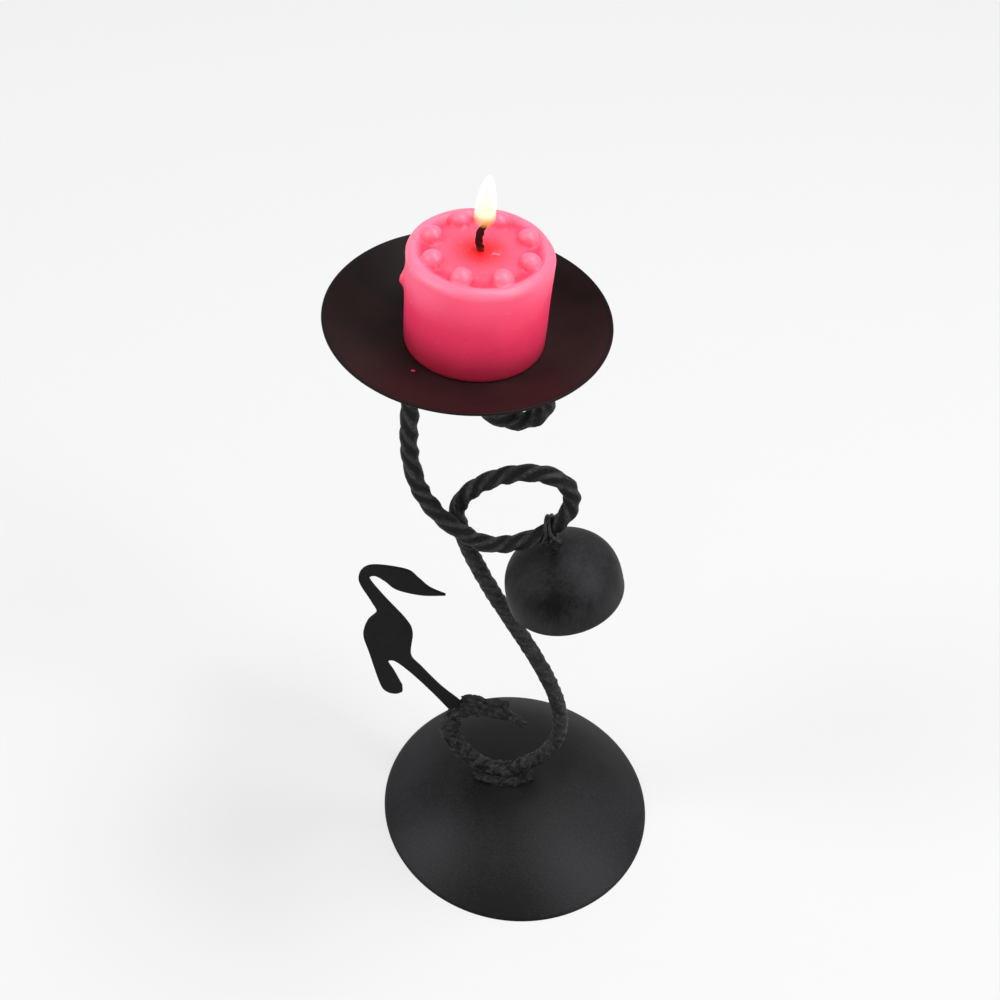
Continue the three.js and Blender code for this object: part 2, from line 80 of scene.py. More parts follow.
camera_lens = bpy.data.cameras.new("photo_camera")
camera_lens.sensor_width = 36
camera_lens.lens = 53.64
camera_lens.clip_start = 0.01
camera = added("photo_camera", camera_lens)
bpy.context.scene.camera = camera
camera.matrix_world = (
    Matrix.Translation(foot_middle + Vector(CAMERA_PLACE) * MM)
    @ Matrix.Rotation(math.radians(CAMERA_YAW), 4, "Z")
    @ Matrix.Rotation(math.radians(90 + CAMERA_PITCH), 4, "X")
    @ Matrix.Rotation(math.radians(CAMERA_ROLL), 4, "Z")
)


# ------------------------------------------------------------------ room
# A white table that runs on as a white wall, and two tall soft boxes in front, left and right, with a
# smaller one overhead, a little to the right. The camera sees the table near white, with a faint shadow.
class Value:
    """A number or colour that varies over a surface. Arithmetic on it adds Math nodes."""

    def __init__(self, finish, socket):
        self.finish = finish
        self.socket = socket

    def worked(self, operation, first, second):
        return self.finish.node("ShaderNodeMath", {"operation": operation}, {0: first, 1: second})

    def __add__(self, other):
        return self.worked("ADD", self, other)

    def __sub__(self, other):
        return self.worked("SUBTRACT", self, other)

    def __rsub__(self, other):
        return self.worked("SUBTRACT", other, self)

    def __mul__(self, other):
        return self.worked("MULTIPLY", self, other)

    def __pow__(self, other):
        return self.worked("POWER", self, other)

    __radd__ = __add__
    __rmul__ = __mul__

    def clamped(self):
        return self.finish.node("ShaderNodeClamp", {}, {"Value": self})


class Finish:
    """One finish: a material, and the nodes that give its colour, gloss and relief."""

    def __init__(self, name, constants=None):
        self.material = bpy.data.materials.new(name)
        self.material.use_nodes = True
        self.tree = self.material.node_tree
        self.surface = self.tree.nodes["Principled BSDF"]
        self.feed(self.surface, constants or {})

    def feed(self, node, inputs):
        for key, value in inputs.items():
            if isinstance(value, Value):
                self.tree.links.new(value.socket, node.inputs[key])
            else:
                node.inputs[key].default_value = value

    def node(self, kind, settings=None, inputs=None, output=0):
        made = self.tree.nodes.new(kind)
        for key, value in (settings or {}).items():
            setattr(made, key, value)
        self.feed(made, inputs or {})
        return Value(self, made.outputs[output])

    def place(self):
        return self.node("ShaderNodeTexCoord", {}, {}, "Object")

    def axis(self, name):
        return self.node("ShaderNodeSeparateXYZ", {}, {"Vector": self.place()}, name)

    def grain(self, scale, detail=3, roughness=0.55, stretch=(1, 1, 1), distortion=0.0):
        """Noise from 0 to 1 whose cells are about 1 / scale metres, or longer along a stretched axis."""
        spot = self.node("ShaderNodeVectorMath", {"operation": "MULTIPLY"}, {0: self.place(), 1: stretch})
        inputs = {"Vector": spot, "Scale": scale, "Detail": detail}
        inputs |= {"Roughness": roughness, "Distortion": distortion}
        return self.node("ShaderNodeTexNoise", {}, inputs)

    def blend(self, factor, first, second):
        """Colour from first to second as factor goes from 0 to 1."""
        mix = self.node("ShaderNodeMix", {"data_type": "RGBA"}, {})
        made = mix.socket.node
        self.feed(made, {0: factor, 6: first, 7: second})
        return Value(self, made.outputs[2])

    def ease(self, value, low, high):
        """0 below low, 1 above high, and smooth between."""
        inputs = {"Value": value, "From Min": low, "From Max": high}
        return self.node("ShaderNodeMapRange", {"interpolation_type": "SMOOTHSTEP"}, inputs)

    def relief(self, height, distance, strength=1.0, under=None):
        """A bump, in metres for a height of 1."""
        inputs = {"Height": height, "Distance": distance, "Strength": strength}
        if under is not None:
            inputs["Normal"] = under
        return self.node("ShaderNodeBump", {}, inputs)

    def kept(self, name):
        """The number that a mesh keeps for each of its points under a name."""
        return self.node("ShaderNodeAttribute", {"attribute_name": name}, {}, "Fac")

    def surfaced(self, tone, rough, bump, glow=None):
        """This finish, with its colour, roughness, relief and glow led to the surface."""
        inputs = {"Base Color": tone, "Roughness": rough, "Normal": bump}
        if glow is not None:
            inputs["Emission Color"] = glow
        self.feed(self.surface, inputs)
        return self


def colour(red, green, blue):
    """A screen colour, 0 to 255, as the linear colour that shaders use."""
    linear = [
        part / 12.92 if part <= 0.04045 else ((part + 0.055) / 1.055) ** 2.4
        for part in (red / 255, green / 255, blue / 255)
    ]
    return (*linear, 1)


BACKGROUND = colour(247, 247, 247)
# How much of the table's own light and shadow the camera sees. The rest is plain background white
FLOOR_SHADE_SHARE = 0.55
# In metres: the table's front, its half width, where the wall starts to rise, and the wall's top
FLOOR_FRONT = -3
FLOOR_SIDE = 4
SWEEP_BACK = 2.6
SWEEP_RADIUS = 0.6
WALL_TOP = 4

floor_finish = Finish("white_table", {"Roughness": 0.9, "Specular IOR Level": 0.1})
floor_tree = floor_finish.tree
floor_finish.feed(floor_finish.surface, {"Base Color": colour(210, 210, 210)})
seen_white = floor_finish.node("ShaderNodeEmission", {}, {"Color": BACKGROUND, "Strength": 1})
ray = floor_finish.node("ShaderNodeLightPath", {}, {}, "Is Camera Ray")
mirror_ray = floor_finish.node("ShaderNodeLightPath", {}, {}, "Is Glossy Ray")
clear_ray = floor_finish.node("ShaderNodeLightPath", {}, {}, "Is Transmission Ray")
share = (ray + mirror_ray + clear_ray) * (1 - FLOOR_SHADE_SHARE)
lit = Value(floor_finish, floor_finish.surface.outputs[0])
seen = floor_finish.node("ShaderNodeMixShader", {}, {0: share, 1: lit, 2: seen_white})
floor_tree.links.new(seen.socket, floor_tree.nodes["Material Output"].inputs["Surface"])


def new_object(name, points, faces, finish):
    mesh = bpy.data.meshes.new(name)
    mesh.from_pydata([tuple(point) for point in points], [], [tuple(face) for face in faces])
    mesh.validate()
    mesh.update()
    mesh.shade_smooth()
    mesh.materials.append(finish.material)
    return added(name, mesh)


def sweep_profile():
    """The table seen from its side: flat, then up in a quarter circle to a wall behind."""
    curve = [
        (SWEEP_BACK + SWEEP_RADIUS * math.sin(turn), SWEEP_RADIUS * (1 - math.cos(turn)))
        for turn in np.linspace(0, math.pi / 2, 16)
    ]
    return [(FLOOR_FRONT, 0), *curve, (SWEEP_BACK + SWEEP_RADIUS, WALL_TOP)]


floor_points = [(side, y, z) for y, z in sweep_profile() for side in (-FLOOR_SIDE, FLOOR_SIDE)]
floor_faces = [(i, i + 1, i + 3, i + 2) for i in range(0, len(floor_points) - 2, 2)]
floor = new_object("white_table", floor_points, floor_faces, floor_finish)


def soft_box(name, place, width, height, power):
    """A rectangular lamp that faces the middle of the stand. Place is in metres from the foot."""
    lamp = bpy.data.lights.new(name, "AREA")
    lamp.shape = "RECTANGLE"
    lamp.size = width
    lamp.size_y = height
    lamp.energy = power
    made = added(name, lamp)
    made.location = foot_middle + Vector(place)
    aim = foot_middle + Vector((0, 0, 0.15)) - made.location
    made.rotation_euler = aim.to_track_quat("-Z", "Y").to_euler()


soft_box("soft_box_left", (-2.6, -1.0, 2.6), 1.2, 2.2, 60)
soft_box("soft_box_right", (2.6, -1.0, 2.6), 1.2, 2.2, 61)
soft_box("soft_box_above", (0.45, 0.2, 2.0), 0.7, 0.6, 20)

# The room lights the stand with a weak white, and shows the camera the white of the table
room = bpy.data.worlds.new("white_room")
room.use_nodes = True
room_nodes = room.node_tree.nodes
room_light = room_nodes["Background"]
room_light.inputs["Color"].default_value = colour(240, 241, 243)
room_light.inputs["Strength"].default_value = 0.6
room_seen = room_nodes.new("ShaderNodeBackground")
room_seen.inputs["Color"].default_value = BACKGROUND
room_choice = room_nodes.new("ShaderNodeMixShader")
for start, end in (
    (room_nodes.new("ShaderNodeLightPath").outputs["Is Camera Ray"], room_choice.inputs[0]),
    (room_light.outputs[0], room_choice.inputs[1]),
    (room_seen.outputs[0], room_choice.inputs[2]),
    (room_choice.outputs[0], room_nodes["World Output"].inputs["Surface"]),
):
    room.node_tree.links.new(start, end)
bpy.context.scene.world = room
bpy.context.scene.view_settings.view_transform = "Standard"


# ------------------------------------------------------------------ domed foot
# A round blank of 1.2 mm sheet, pressed to a dome, with its edge left square and dressed. It is
# blackened and waxed, so it is smooth and half matt, with faint clouds of grey from the heat. Its colour
# also holds painted reflections of the soft boxes and painted shade.
FOOT_RADIUS = 62.5
FOOT_RISE = 23
FOOT_SHEET = 1.2
FOOT_SPHERE = (FOOT_RADIUS**2 + FOOT_RISE**2) / (2 * FOOT_RISE)
EDGE_ROUND = 0.35
DOME_SHARE = 0.996
FOOT_WAVE = 0.22
# Where the foot is greyer, painted reflections of the soft boxes, and where it is darker, painted shade:
# how much, the middle in X and Y, and the reach in X and Y
FOOT_GREY = 0.4
FOOT_PAINTED_LIGHT_HILLS = [
    (0.42, -38, -33, 20, 14), (0.3, 40, -35, 20, 14), (-0.4, 0, -56, 20, 22), (-0.26, -2, -18, 26, 16),
    (-0.5, 6, 6, 15, 16), (-0.7, -6, 38, 34, 24), (0.2, -52, 5, 14, 30),
]


def ring_skin(rings, along=False):
    """Faces of a skin over rows of points that close on themselves. The rows can close along, too."""
    rows, sides = rings.shape[:2]
    faces = []
    for i in range(rows if along else rows - 1):
        for k in range(sides):
            after, beside = (i + 1) % rows, (k + 1) % sides
            faces.append((i * sides + k, i * sides + beside, after * sides + beside, after * sides + k))
    return faces


def turned(profile, segments):
    """Points and faces of a profile of [radius, height] turned about Z. Ends on the axis close."""
    turn = np.linspace(0, 2 * math.pi, segments, endpoint=False)
    profile = np.array(profile, float)
    on_axis = profile[:, 0] < 1e-6
    out, up = profile[:, :1], profile[:, 1:]
    rings = np.stack([out * np.cos(turn), out * np.sin(turn), up * np.ones(segments)], axis=2)
    points = rings.reshape(-1, 3)
    faces = ring_skin(rings)
    # A row on the axis is one point: its faces become triangles
    alias = np.arange(len(points))
    for row in np.nonzero(on_axis)[0]:
        alias[row * segments : (row + 1) * segments] = row * segments
    clean = []
    for face in faces:
        named = list(dict.fromkeys(int(alias[k]) for k in face))
        if len(named) > 2:
            clean.append(tuple(named))
    used = sorted({k for face in clean for k in face})
    new_name = {old: new for new, old in enumerate(used)}
    return points[used], [tuple(new_name[k] for k in face) for face in clean]


def piece(name, points, faces, finish, body, replaces=()):
    """A piece of the stand from points in millimetres from the middle of the foot."""
    placed = np.array(points, float) * MM + np.array(foot_middle)
    made = new_object(name, placed, faces, finish)
    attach(made, body)
    if replaces:
        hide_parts(*replaces)
    return made


def unevenness(points, size, depth, seed):
    """Slow waves of a hand-made surface: a shift for each point along its own direction."""
    shift = Vector((seed, 2.3 * seed, -1.7 * seed))
    return np.array([depth * noise.noise(Vector(p) / size + shift) for p in points])


def dome_profile(radius):
    """Points of a round skin concentric with the foot, from its middle to just above the table."""
    drop = FOOT_SPHERE - FOOT_RISE
    edge = math.acos(drop / radius)
    return [
        (radius * math.sin(turn), radius * math.cos(turn) - drop)
        for turn in np.linspace(0, edge * DOME_SHARE, 40)
    ]


def foot_profile():
    outside = dome_profile(FOOT_SPHERE)
    inside = dome_profile(FOOT_SPHERE - FOOT_SHEET)
    (x0, _), (x1, _) = outside[-1], inside[-1]
    edge = [(x0 - 0.02, 0.12), (x0 - EDGE_ROUND, 0.0), (x1 + EDGE_ROUND, 0.0), (x1 + 0.05, 0.12)]
    return [*outside, *edge, *inside[::-1]]


foot_points, foot_faces = turned(foot_profile(), 144)
lift = unevenness(foot_points, 30, FOOT_WAVE, 3)
calm = np.clip(foot_points[:, 2] / 6, 0, 1)
foot_points[:, 2] += (lift - FOOT_WAVE) * calm


def black_iron(name, light=colour(42, 42, 45), dark=colour(8, 8, 9), cloud=26, polish=0.5):
    """Blackened and waxed iron: grey where its mark of painted reflections and painted shade is 1, clouds
    of grey, a fine grain, a broad shine.
    """
    finish = Finish(name, {"Metallic": 0.1, "Specular IOR Level": 0.2})
    # The mark of painted reflections and painted shade that a piece keeps
    painted_light = finish.kept("painted_light")
    clouds = finish.ease(finish.grain(cloud, 4, 0.6, distortion=0.4), 0.3, 0.72)
    specks = finish.grain(1100, 3, 0.6)
    fine = finish.ease(specks, 0.35, 0.75)
    tone = (painted_light + (clouds - 0.5) * 0.3 + (fine - 0.5) * 0.4).clamped()
    rough = polish + clouds * 0.1 + fine * 0.06
    bump = finish.relief(specks, 0.00008, 0.6)
    return finish.surfaced(finish.blend(tone, dark, light), rough, bump)


foot_iron = black_iron("foot_iron")
foot = piece("foot", foot_points, foot_faces, foot_iron, "stand", replaces=["base_dome"])


def mark(made, name, values):
    """Keeps a number for each point of a mesh, for its finish to read."""
    layer = made.data.attributes.new(name, "FLOAT", "POINT")
    layer.data.foreach_set("value", np.array(values, np.float32))


def bump_at(points, x, y, width, depth):
    """A round hill of 1 over the plan of some points."""
    return np.exp(-(((points[:, 0] - x) / width) ** 2) - ((points[:, 1] - y) / depth) ** 2)


# Painted light on the foot: the plain level, with hills of painted reflection and painted shade added
foot_painted_light = FOOT_GREY
for share, *hill in FOOT_PAINTED_LIGHT_HILLS:
    foot_painted_light = foot_painted_light + share * bump_at(foot_points, *hill)
mark(foot, "painted_light", foot_painted_light)


# ------------------------------------------------------------------ twisted bar
# One 6 mm square bar, heated and twisted, tight in its lower half and slacker above, then bent into an
# S: a loop that stands on the foot, an eye in the middle and a scroll under the dish. Its colour is
# lighter on the ridges, a painted highlight, and darker in the grooves and on the crusty lower half,
# painted shade, with bright spots of painted glints.
BAR_SIDE = 6
BAR_CORNER = 0.9
BAR_RADIUS = math.hypot(BAR_SIDE / 2, BAR_SIDE / 2 - BAR_CORNER)
UPPER_PITCH = 34
LOWER_PITCH = 20
LOWER_SCALE = 0.97
TAPER_LENGTH = 22
TIP_SCALE = 0.4
BAR_STEP = 0.5
BAR_SIDES = 32
SCALE_DEPTH = 0.16
CRUST_FILL = 0.6
CRUST_DEPTH = 0.3
SPATTER_DEPTH = 0.95
SPATTER_LENGTH = 118
# The bar is drawn in where the hanging wire turns round it, which leaves the bell's eye room to swing.
# The photo doesn't show this. How far round the middle loop, how deep, and how far along the bar
RECESS_SHARE = 0.719
RECESS_DEPTH = 0.4
RECESS_REACH = 5.5
TWIST_BLEND = 12
TWIST_WANDER = 0.45
KNOCK_DEPTH = 0.14


def oval_arc(x, z, length, width, lean, start, end, grow=(1, 1), depth=(0, 0)):
    """A forged loop in the plane of the stand, whose size may grow and whose strand may change sides."""
    share = np.linspace(0, 1, 161)
    turn = np.radians(start + (end - start) * share)
    size = grow[0] + (grow[1] - grow[0]) * share
    along = length * size * np.cos(turn)
    across = width * size * np.sin(turn)
    tilt = math.radians(lean)
    ease = share * share * (3 - 2 * share)
    return np.stack(
        [
            x + along * math.cos(tilt) - across * math.sin(tilt),
            depth[0] + (depth[1] - depth[0]) * ease,
            z + along * math.sin(tilt) + across * math.cos(tilt),
        ],
        axis=1,
    )


def stem(before, after, pull):
    """A smooth stem that leaves one loop and enters the next along their directions."""
    leave = before[-1] - before[-2]
    enter = after[1] - after[0]
    first, last = before[-1], after[0]
    second = first + pull[0] * leave / np.linalg.norm(leave)
    third = last - pull[1] * enter / np.linalg.norm(enter)
    t = np.linspace(0, 1, 121)[:, None]
    return (
        (1 - t) ** 3 * first
        + 3 * (1 - t) ** 2 * t * second
        + 3 * (1 - t) * t * t * third
        + t**3 * last
    )


foot_loop = oval_arc(-13.5, 44.63, 25.8, 18.2, -50, 100, 353, grow=(1.19, 0.75))
mid_loop = oval_arc(-15.3, 199, 22, 13.2, 38, 167, -164, grow=(1.2, 1), depth=(3.96, -3.96))
scroll_top = oval_arc(-38, 252.94, 19.4, 22.3, 0, 180, 64)
scroll_curl = oval_arc(-20.6, 255, 11.8, 10.8, 0, 24, -142)
lower_stem = stem(foot_loop, mid_loop, (65.4, 60))
upper_stem = stem(mid_loop, scroll_top, (35.6, 25.2))
scroll_bend = stem(scroll_top, scroll_curl, (9, 8))


def evenly(points, step):
    """The same line with its points a step apart, and the distance of each along it."""
    run = np.concatenate([[0], np.cumsum(np.linalg.norm(np.diff(points, axis=0), axis=1))])
    keep = np.concatenate([[True], np.diff(run) > 1e-9])
    run, points = run[keep], points[keep]
    count = int(round(run[-1] / step))
    even = np.linspace(0, run[-1], count + 1)
    return np.stack([np.interp(even, run, points[:, k]) for k in range(3)], axis=1), even


def smoothstep(value, low, high):
    t = np.clip((value - low) / (high - low), 0, 1)
    return t * t * (3 - 2 * t)


def directions(line):
    tangent = np.gradient(line, axis=0)
    return tangent / np.linalg.norm(tangent, axis=1)[:, None]


def square_frame(tangent):
    """Directions square to a line, one of them always near the Y axis."""
    side = np.array([0.0, 1.0, 0.0]) - tangent * tangent[:, 1:2]
    side /= np.linalg.norm(side, axis=1)[:, None]
    return side, np.cross(side, tangent)


bar_line, bar_run = evenly(
    np.vstack([foot_loop, lower_stem, mid_loop, upper_stem, scroll_top, scroll_bend, scroll_curl]),
    BAR_STEP,
)
lower_end = sum(
    np.linalg.norm(np.diff(part, axis=0), axis=1).sum() for part in (foot_loop, lower_stem)
)
lowness = 1 - smoothstep(bar_run, lower_end - TWIST_BLEND, lower_end + TWIST_BLEND)
bar_pitch = UPPER_PITCH + (LOWER_PITCH - UPPER_PITCH) * lowness
bar_twist = 2 * math.pi * np.cumsum(np.gradient(bar_run) / bar_pitch)
wander = np.array([noise.noise(Vector((run / 11, 3.7, 1.2))) for run in bar_run])
bar_twist += TWIST_WANDER * wander
taper = smoothstep(bar_run, -TAPER_LENGTH * 0.25, TAPER_LENGTH)
bar_scale = (1 + (LOWER_SCALE - 1) * lowness) * (TIP_SCALE + (1 - TIP_SCALE) * taper)


def rings_about(line, side, outward, radius, angle):
    """Rows of points round a line, one row for each of its points."""
    return (
        line[:, None, :]
        + side[:, None, :] * (radius * np.cos(angle))[:, :, None]
        + outward[:, None, :] * (radius * np.sin(angle))[:, :, None]
    )


def rope_section(count):
    """A square whose corners are dressed round and whose faces are a little hollow from the twist."""
    turn = np.linspace(0, 2 * math.pi, count, endpoint=False)
    square = (np.abs(np.cos(turn)) ** 4.4 + np.abs(np.sin(turn)) ** 4.4) ** (-1 / 4.4)
    hollow = 0.1 * np.cos(2 * turn) ** 2
    return turn, square * BAR_SIDE / 2 - hollow


def lumps(line, angles, along, across, seed):
    """Noise over the skin of a bar: how far a lump stands out, for each row and side."""
    return np.array(
        [
            [
                noise.noise(Vector((along * run + seed, across * math.cos(a), across * math.sin(a))))
                for a in row
            ]
            for run, row in zip(line, angles)
        ]
    )


def swept_bar():
    """The bar's rows of points, and how far each stands out of the section, from 0 to 1."""
    turn, reach = rope_section(BAR_SIDES)
    side, outward = square_frame(directions(bar_line))
    angle = turn[None, :] + bar_twist[:, None]
    knock = lumps(bar_run, np.tile(turn, (len(bar_run), 1)), 0.11, 1.4, 0)
    crust = lumps(bar_run, angle, 0.3, 1.4, 40) + 0.45 * lumps(bar_run, angle, 0.8, 3.2, 80)
    spatter = 1 - smoothstep(bar_run, SPATTER_LENGTH - 25, SPATTER_LENGTH)
    filled = (lowness * CRUST_FILL)[:, None]
    shape = reach[None, :] * (1 - filled) + (reach.mean() + 0.4) * filled
    depth = (SCALE_DEPTH + (CRUST_DEPTH - SCALE_DEPTH) * lowness + SPATTER_DEPTH * spatter)[:, None]
    radius = bar_scale[:, None] * (shape - KNOCK_DEPTH * np.abs(knock) + depth * crust)
    from_wire = np.linalg.norm(bar_line - mid_loop[int(RECESS_SHARE * (len(mid_loop) - 1))], axis=1)
    radius = radius - RECESS_DEPTH * np.exp(-((from_wire / RECESS_REACH) ** 2))[:, None]
    height = (radius / bar_scale[:, None] - reach.min()) / (reach.max() - reach.min())
    return rings_about(bar_line, side, outward, radius, angle), np.clip(height, 0, 1)


def capped(rings):
    """Points and faces of rings whose two ends are closed, each to a point in its middle."""
    rows, sides = rings.shape[:2]
    first, last = rings[0].mean(axis=0), rings[-1].mean(axis=0)
    points = np.vstack([rings.reshape(-1, 3), first, last])
    faces = ring_skin(rings)
    start, end = rows * sides, rows * sides + 1
    for k in range(sides):
        beside = (k + 1) % sides
        faces.append((start, beside, k))
        faces.append((end, (rows - 1) * sides + k, (rows - 1) * sides + beside))
    return points, faces


def forged_iron(name):
    """Black iron: lighter on its ridges, a painted highlight, with bright spots, painted glints, darker in
    its grooves and on its crusty lower half, painted shade, dark pits and the small dents of a hammer.
    """
    finish = Finish(name, {"Metallic": 0.15, "Specular IOR Level": 0.28})
    ridge = finish.kept("ridge")
    crust = finish.kept("crust")
    clouds = finish.ease(finish.grain(140, 4, 0.6, distortion=0.6), 0.34, 0.7)
    scale = finish.grain(620, 4, 0.65)
    painted_glint_spots = finish.ease(finish.grain(1100, 3, 0.7, distortion=0.5), 0.52, 0.72)
    # Painted highlight: the ridges lighter, most where the clouds are
    ridge_painted_highlight = (finish.ease(ridge + (scale - 0.5) * 0.8, 0.15, 0.9) * (0.2 + clouds * 0.8)).clamped()
    # Painted shade: the grooves darker than the ridges
    groove_painted_shade_tone = finish.blend(finish.ease(ridge, 0.1, 0.6) * clouds, colour(3, 3, 4), colour(22, 22, 23))
    # Painted shade: the crusty lower half gets less of the ridge highlight
    tone = finish.blend(ridge_painted_highlight * (0.85 - crust * 0.3), groove_painted_shade_tone, colour(58, 58, 60))
    # Painted glints: bright spots, most on the ridges
    bright = painted_glint_spots * (finish.ease(ridge, 0.3, 0.8) * 0.45 + crust * 0.1)
    tone = finish.blend(bright.clamped(), tone, colour(100, 100, 104))
    pits = finish.ease(finish.grain(900, 3, 0.7, distortion=0.8), 0.58, 0.7)
    tone = finish.blend(pits * (0.5 + crust * 0.4), tone, colour(3, 3, 3))
    rough = 0.56 - ridge_painted_highlight * 0.08 + scale * 0.12
    dents = finish.relief(finish.grain(300, 3, 0.6), 0.0014, 0.9)
    return finish.surfaced(tone, rough, finish.relief(scale, 0.0006, 0.9, under=dents))


bar_iron = forged_iron("forged_iron")
bar_rings, bar_height = swept_bar()
bar_points, bar_faces = capped(bar_rings)
bar = piece("bar", bar_points, bar_faces, bar_iron, "stand", replaces=["twisted_bar"])
mark(bar, "ridge", [*bar_height.ravel(), 0.3, 0.3])
mark(bar, "crust", [*np.repeat(lowness, BAR_SIDES), 1, 0])


# ------------------------------------------------------------------ welds
# Beads of weld metal, laid by hand: lumpy, with ripples where the pool froze and scale left on. They
# join the lowest loop to the foot, the scroll to the dish and the bird to the loop. Spatter lies
# inside the loop.
WELD_TOP = 278.0
# Beads on the foot: X from the loop's lowest point, Y, X and Y where the foot's height is taken, rise,
# half sizes, turn and seed
FOOT_BEADS = [
    (-5.0, 0, -5, 0, 0.7, (7.3, 6.4, 2.6), 0.10, 2),
    (4.6, -0.6, 5, 0, 0.5, (7.0, 6.2, 2.5), -0.12, 5),
    (1.4, -3.8, 0, 4, 0.1, (6.4, 3.2, 1.4), 0.0, 9),
    (11, 0.6, 11, 0, 0.1, (5.4, 4.2, 1.5), -0.12, 12),
]
# Spatter inside the lowest loop: how far round it, and the seed
SPATTER_SPOTS = ((0.42, 21), (0.5, 22), (0.57, 23), (0.64, 24), (0.71, 25))
SPATTER_INWARD = 2.4
SPATTER_HALF = (3.6, 2.6, 1.9)
BIRD_FOOT_SHARE = 0.18
BIRD_FOOT_RISE = 2.7
REST_SLOPE = 0.06


def weld_lump(middle, half, turn, seed, steps=(44, 30)):
    """A squashed ball with ripples and lumps, long in X before it is turned about Y."""
    around = np.linspace(0, 2 * math.pi, steps[0], endpoint=False)
    down = np.linspace(0, math.pi, steps[1])[:, None]
    along, out = np.cos(down), np.sin(down)
    rings = np.stack([along * np.ones(steps[0]), out * np.cos(around), out * np.sin(around)], axis=2)
    flat = rings.reshape(-1, 3)
    shift = Vector((seed, seed * 1.9, -seed))
    ripple = np.array(
        [
            1
            + 0.26 * noise.noise(Vector(p) * 2.1 + shift)
            + 0.14 * noise.noise(Vector(p) * 5.5 + shift)
            + 0.025 * math.sin(26 * p[0] + 3 * p[1] * p[1])
            for p in flat
        ]
    )
    lump = flat * ripple[:, None] * np.array(half)
    spin = np.array(Matrix.Rotation(turn, 3, "Y"))
    return (lump @ spin.T + np.array(middle)).reshape(rings.shape)


def weld_iron(name):
    """Weld metal: rough, black with scale, grey where the ripples catch the wax and the light."""
    finish = Finish(name, {"Metallic": 0.15, "Specular IOR Level": 0.3})
    scale = finish.grain(480, 5, 0.7, distortion=0.5)
    crust = finish.grain(1500, 3, 0.6)
    tone = finish.ease(scale, 0.38, 0.7)
    coarse = finish.relief(scale, 0.0011, 0.9)
    return finish.surfaced(
        finish.blend(tone, colour(3, 3, 4), colour(46, 46, 49)),
        0.5 + crust * 0.25,
        finish.relief(crust, 0.0003, 0.7, under=coarse),
    )


weld_metal = weld_iron("weld_metal")


def joined(*parts):
    """One set of points and faces from several."""
    points, faces = [], []
    for own, skin in parts:
        faces += [tuple(k + len(points) for k in face) for face in skin]
        points += [tuple(point) for point in own]
    return np.array(points), faces


def weld(name, lumps, replaces):
    points, faces = joined(*(capped(lump) for lump in lumps))
    piece(name, points, faces, weld_metal, "stand", replaces=replaces)


def dome_height(x, y):
    return math.sqrt(FOOT_SPHERE**2 - x * x - y * y) - (FOOT_SPHERE - FOOT_RISE)


loop_low = foot_loop[foot_loop[:, 2].argmin()]
loop_x = float(loop_low[0])
loop_middle = foot_loop.mean(axis=0)
foot_beads = [
    weld_lump((loop_x + x, y, dome_height(loop_x + at_x, at_y) + rise), half, turn, seed)
    for x, y, at_x, at_y, rise, half, turn, seed in FOOT_BEADS
]
for share, seed in SPATTER_SPOTS:
    spot = foot_loop[int(share * (len(foot_loop) - 1))]
    inward = (loop_middle - spot) / np.linalg.norm(loop_middle - spot)
    middle = spot + inward * SPATTER_INWARD + np.array([0, 0.3, 0])
    foot_beads.append(weld_lump(middle, SPATTER_HALF, 0.4 * share, seed, (24, 16)))
weld("foot_weld", foot_beads, ["base_weld"])
scroll_high = scroll_top[scroll_top[:, 2].argmax()]
weld(
    "dish_weld",
    [
        weld_lump((scroll_high[0] - 4.5, 0, WELD_TOP), (6.8, 5.6, 2.4), 0.0, 3),
        weld_lump((scroll_high[0] + 4.0, 0.4, WELD_TOP), (6.4, 5.2, 2.3), 0.0, 6),
    ],
    ["plate_weld"],
)

# Where the bird's foot lies on the loop
bird_turn = int(BIRD_FOOT_SHARE * (len(foot_loop) - 1))
bird_rest = foot_loop[bird_turn] + np.array([0, 0, BIRD_FOOT_RISE])
for name, side, seed in (("bird_weld_front", -1, 4), ("bird_weld_back", 1, 8)):
    left = bird_rest + np.array([-5.0, 2.2 * side, -0.7])
    right = bird_rest + np.array([4.8, 2.1 * side, -0.9])
    beads = [
        weld_lump(left, (5.8, 2.6, 2.3), REST_SLOPE, seed),
        weld_lump(right, (6.0, 2.6, 2.1), -REST_SLOPE, seed + 1),
    ]
    weld(name, beads, [name])


# ------------------------------------------------------------------ bird
# A crane cut from 1.6 mm sheet with a torch, its edges dressed with a file. Its foot is one with its
# leg and is laid on the lowest loop and welded there.
BIRD_SHEET = 1.6
BIRD_EDGE = 0.22
BIRD_BACK = [
    (-40.1, 143.6), (-46.8, 146.4), (-51.6, 151.1), (-56.7, 155.3), (-69.3, 155.5), (-74.9, 151.8),
    (-76, 144.6), (-70.8, 133.2), (-68.6, 126.8), (-72.4, 119.9), (-74.1, 110.7), (-71.4, 98.8),
    (-66.4, 78.3), (-63.3, 73.3), (-59.2, 72.7), (-56.2, 74.9),
]
BIRD_LEG = [
    (-56.6, 78.3), (-60.4, 87.7), (-63.3, 94.2), (-60.1, 95.7), (-52.8, 89.1), (-43.3, 77.8),
    (-35.1, 66.9),
]
BIRD_BREAST = [
    (-25, 67.6), (-31.6, 74.4), (-39.6, 82.2), (-48.4, 93.4), (-53.3, 100.8), (-53, 115.4),
    (-55.9, 123.6), (-65.7, 136.9), (-71.7, 146.5), (-69.6, 149.5), (-65.4, 147.2), (-60.2, 142.9),
    (-50, 141.6), (-40.1, 143.6),
]


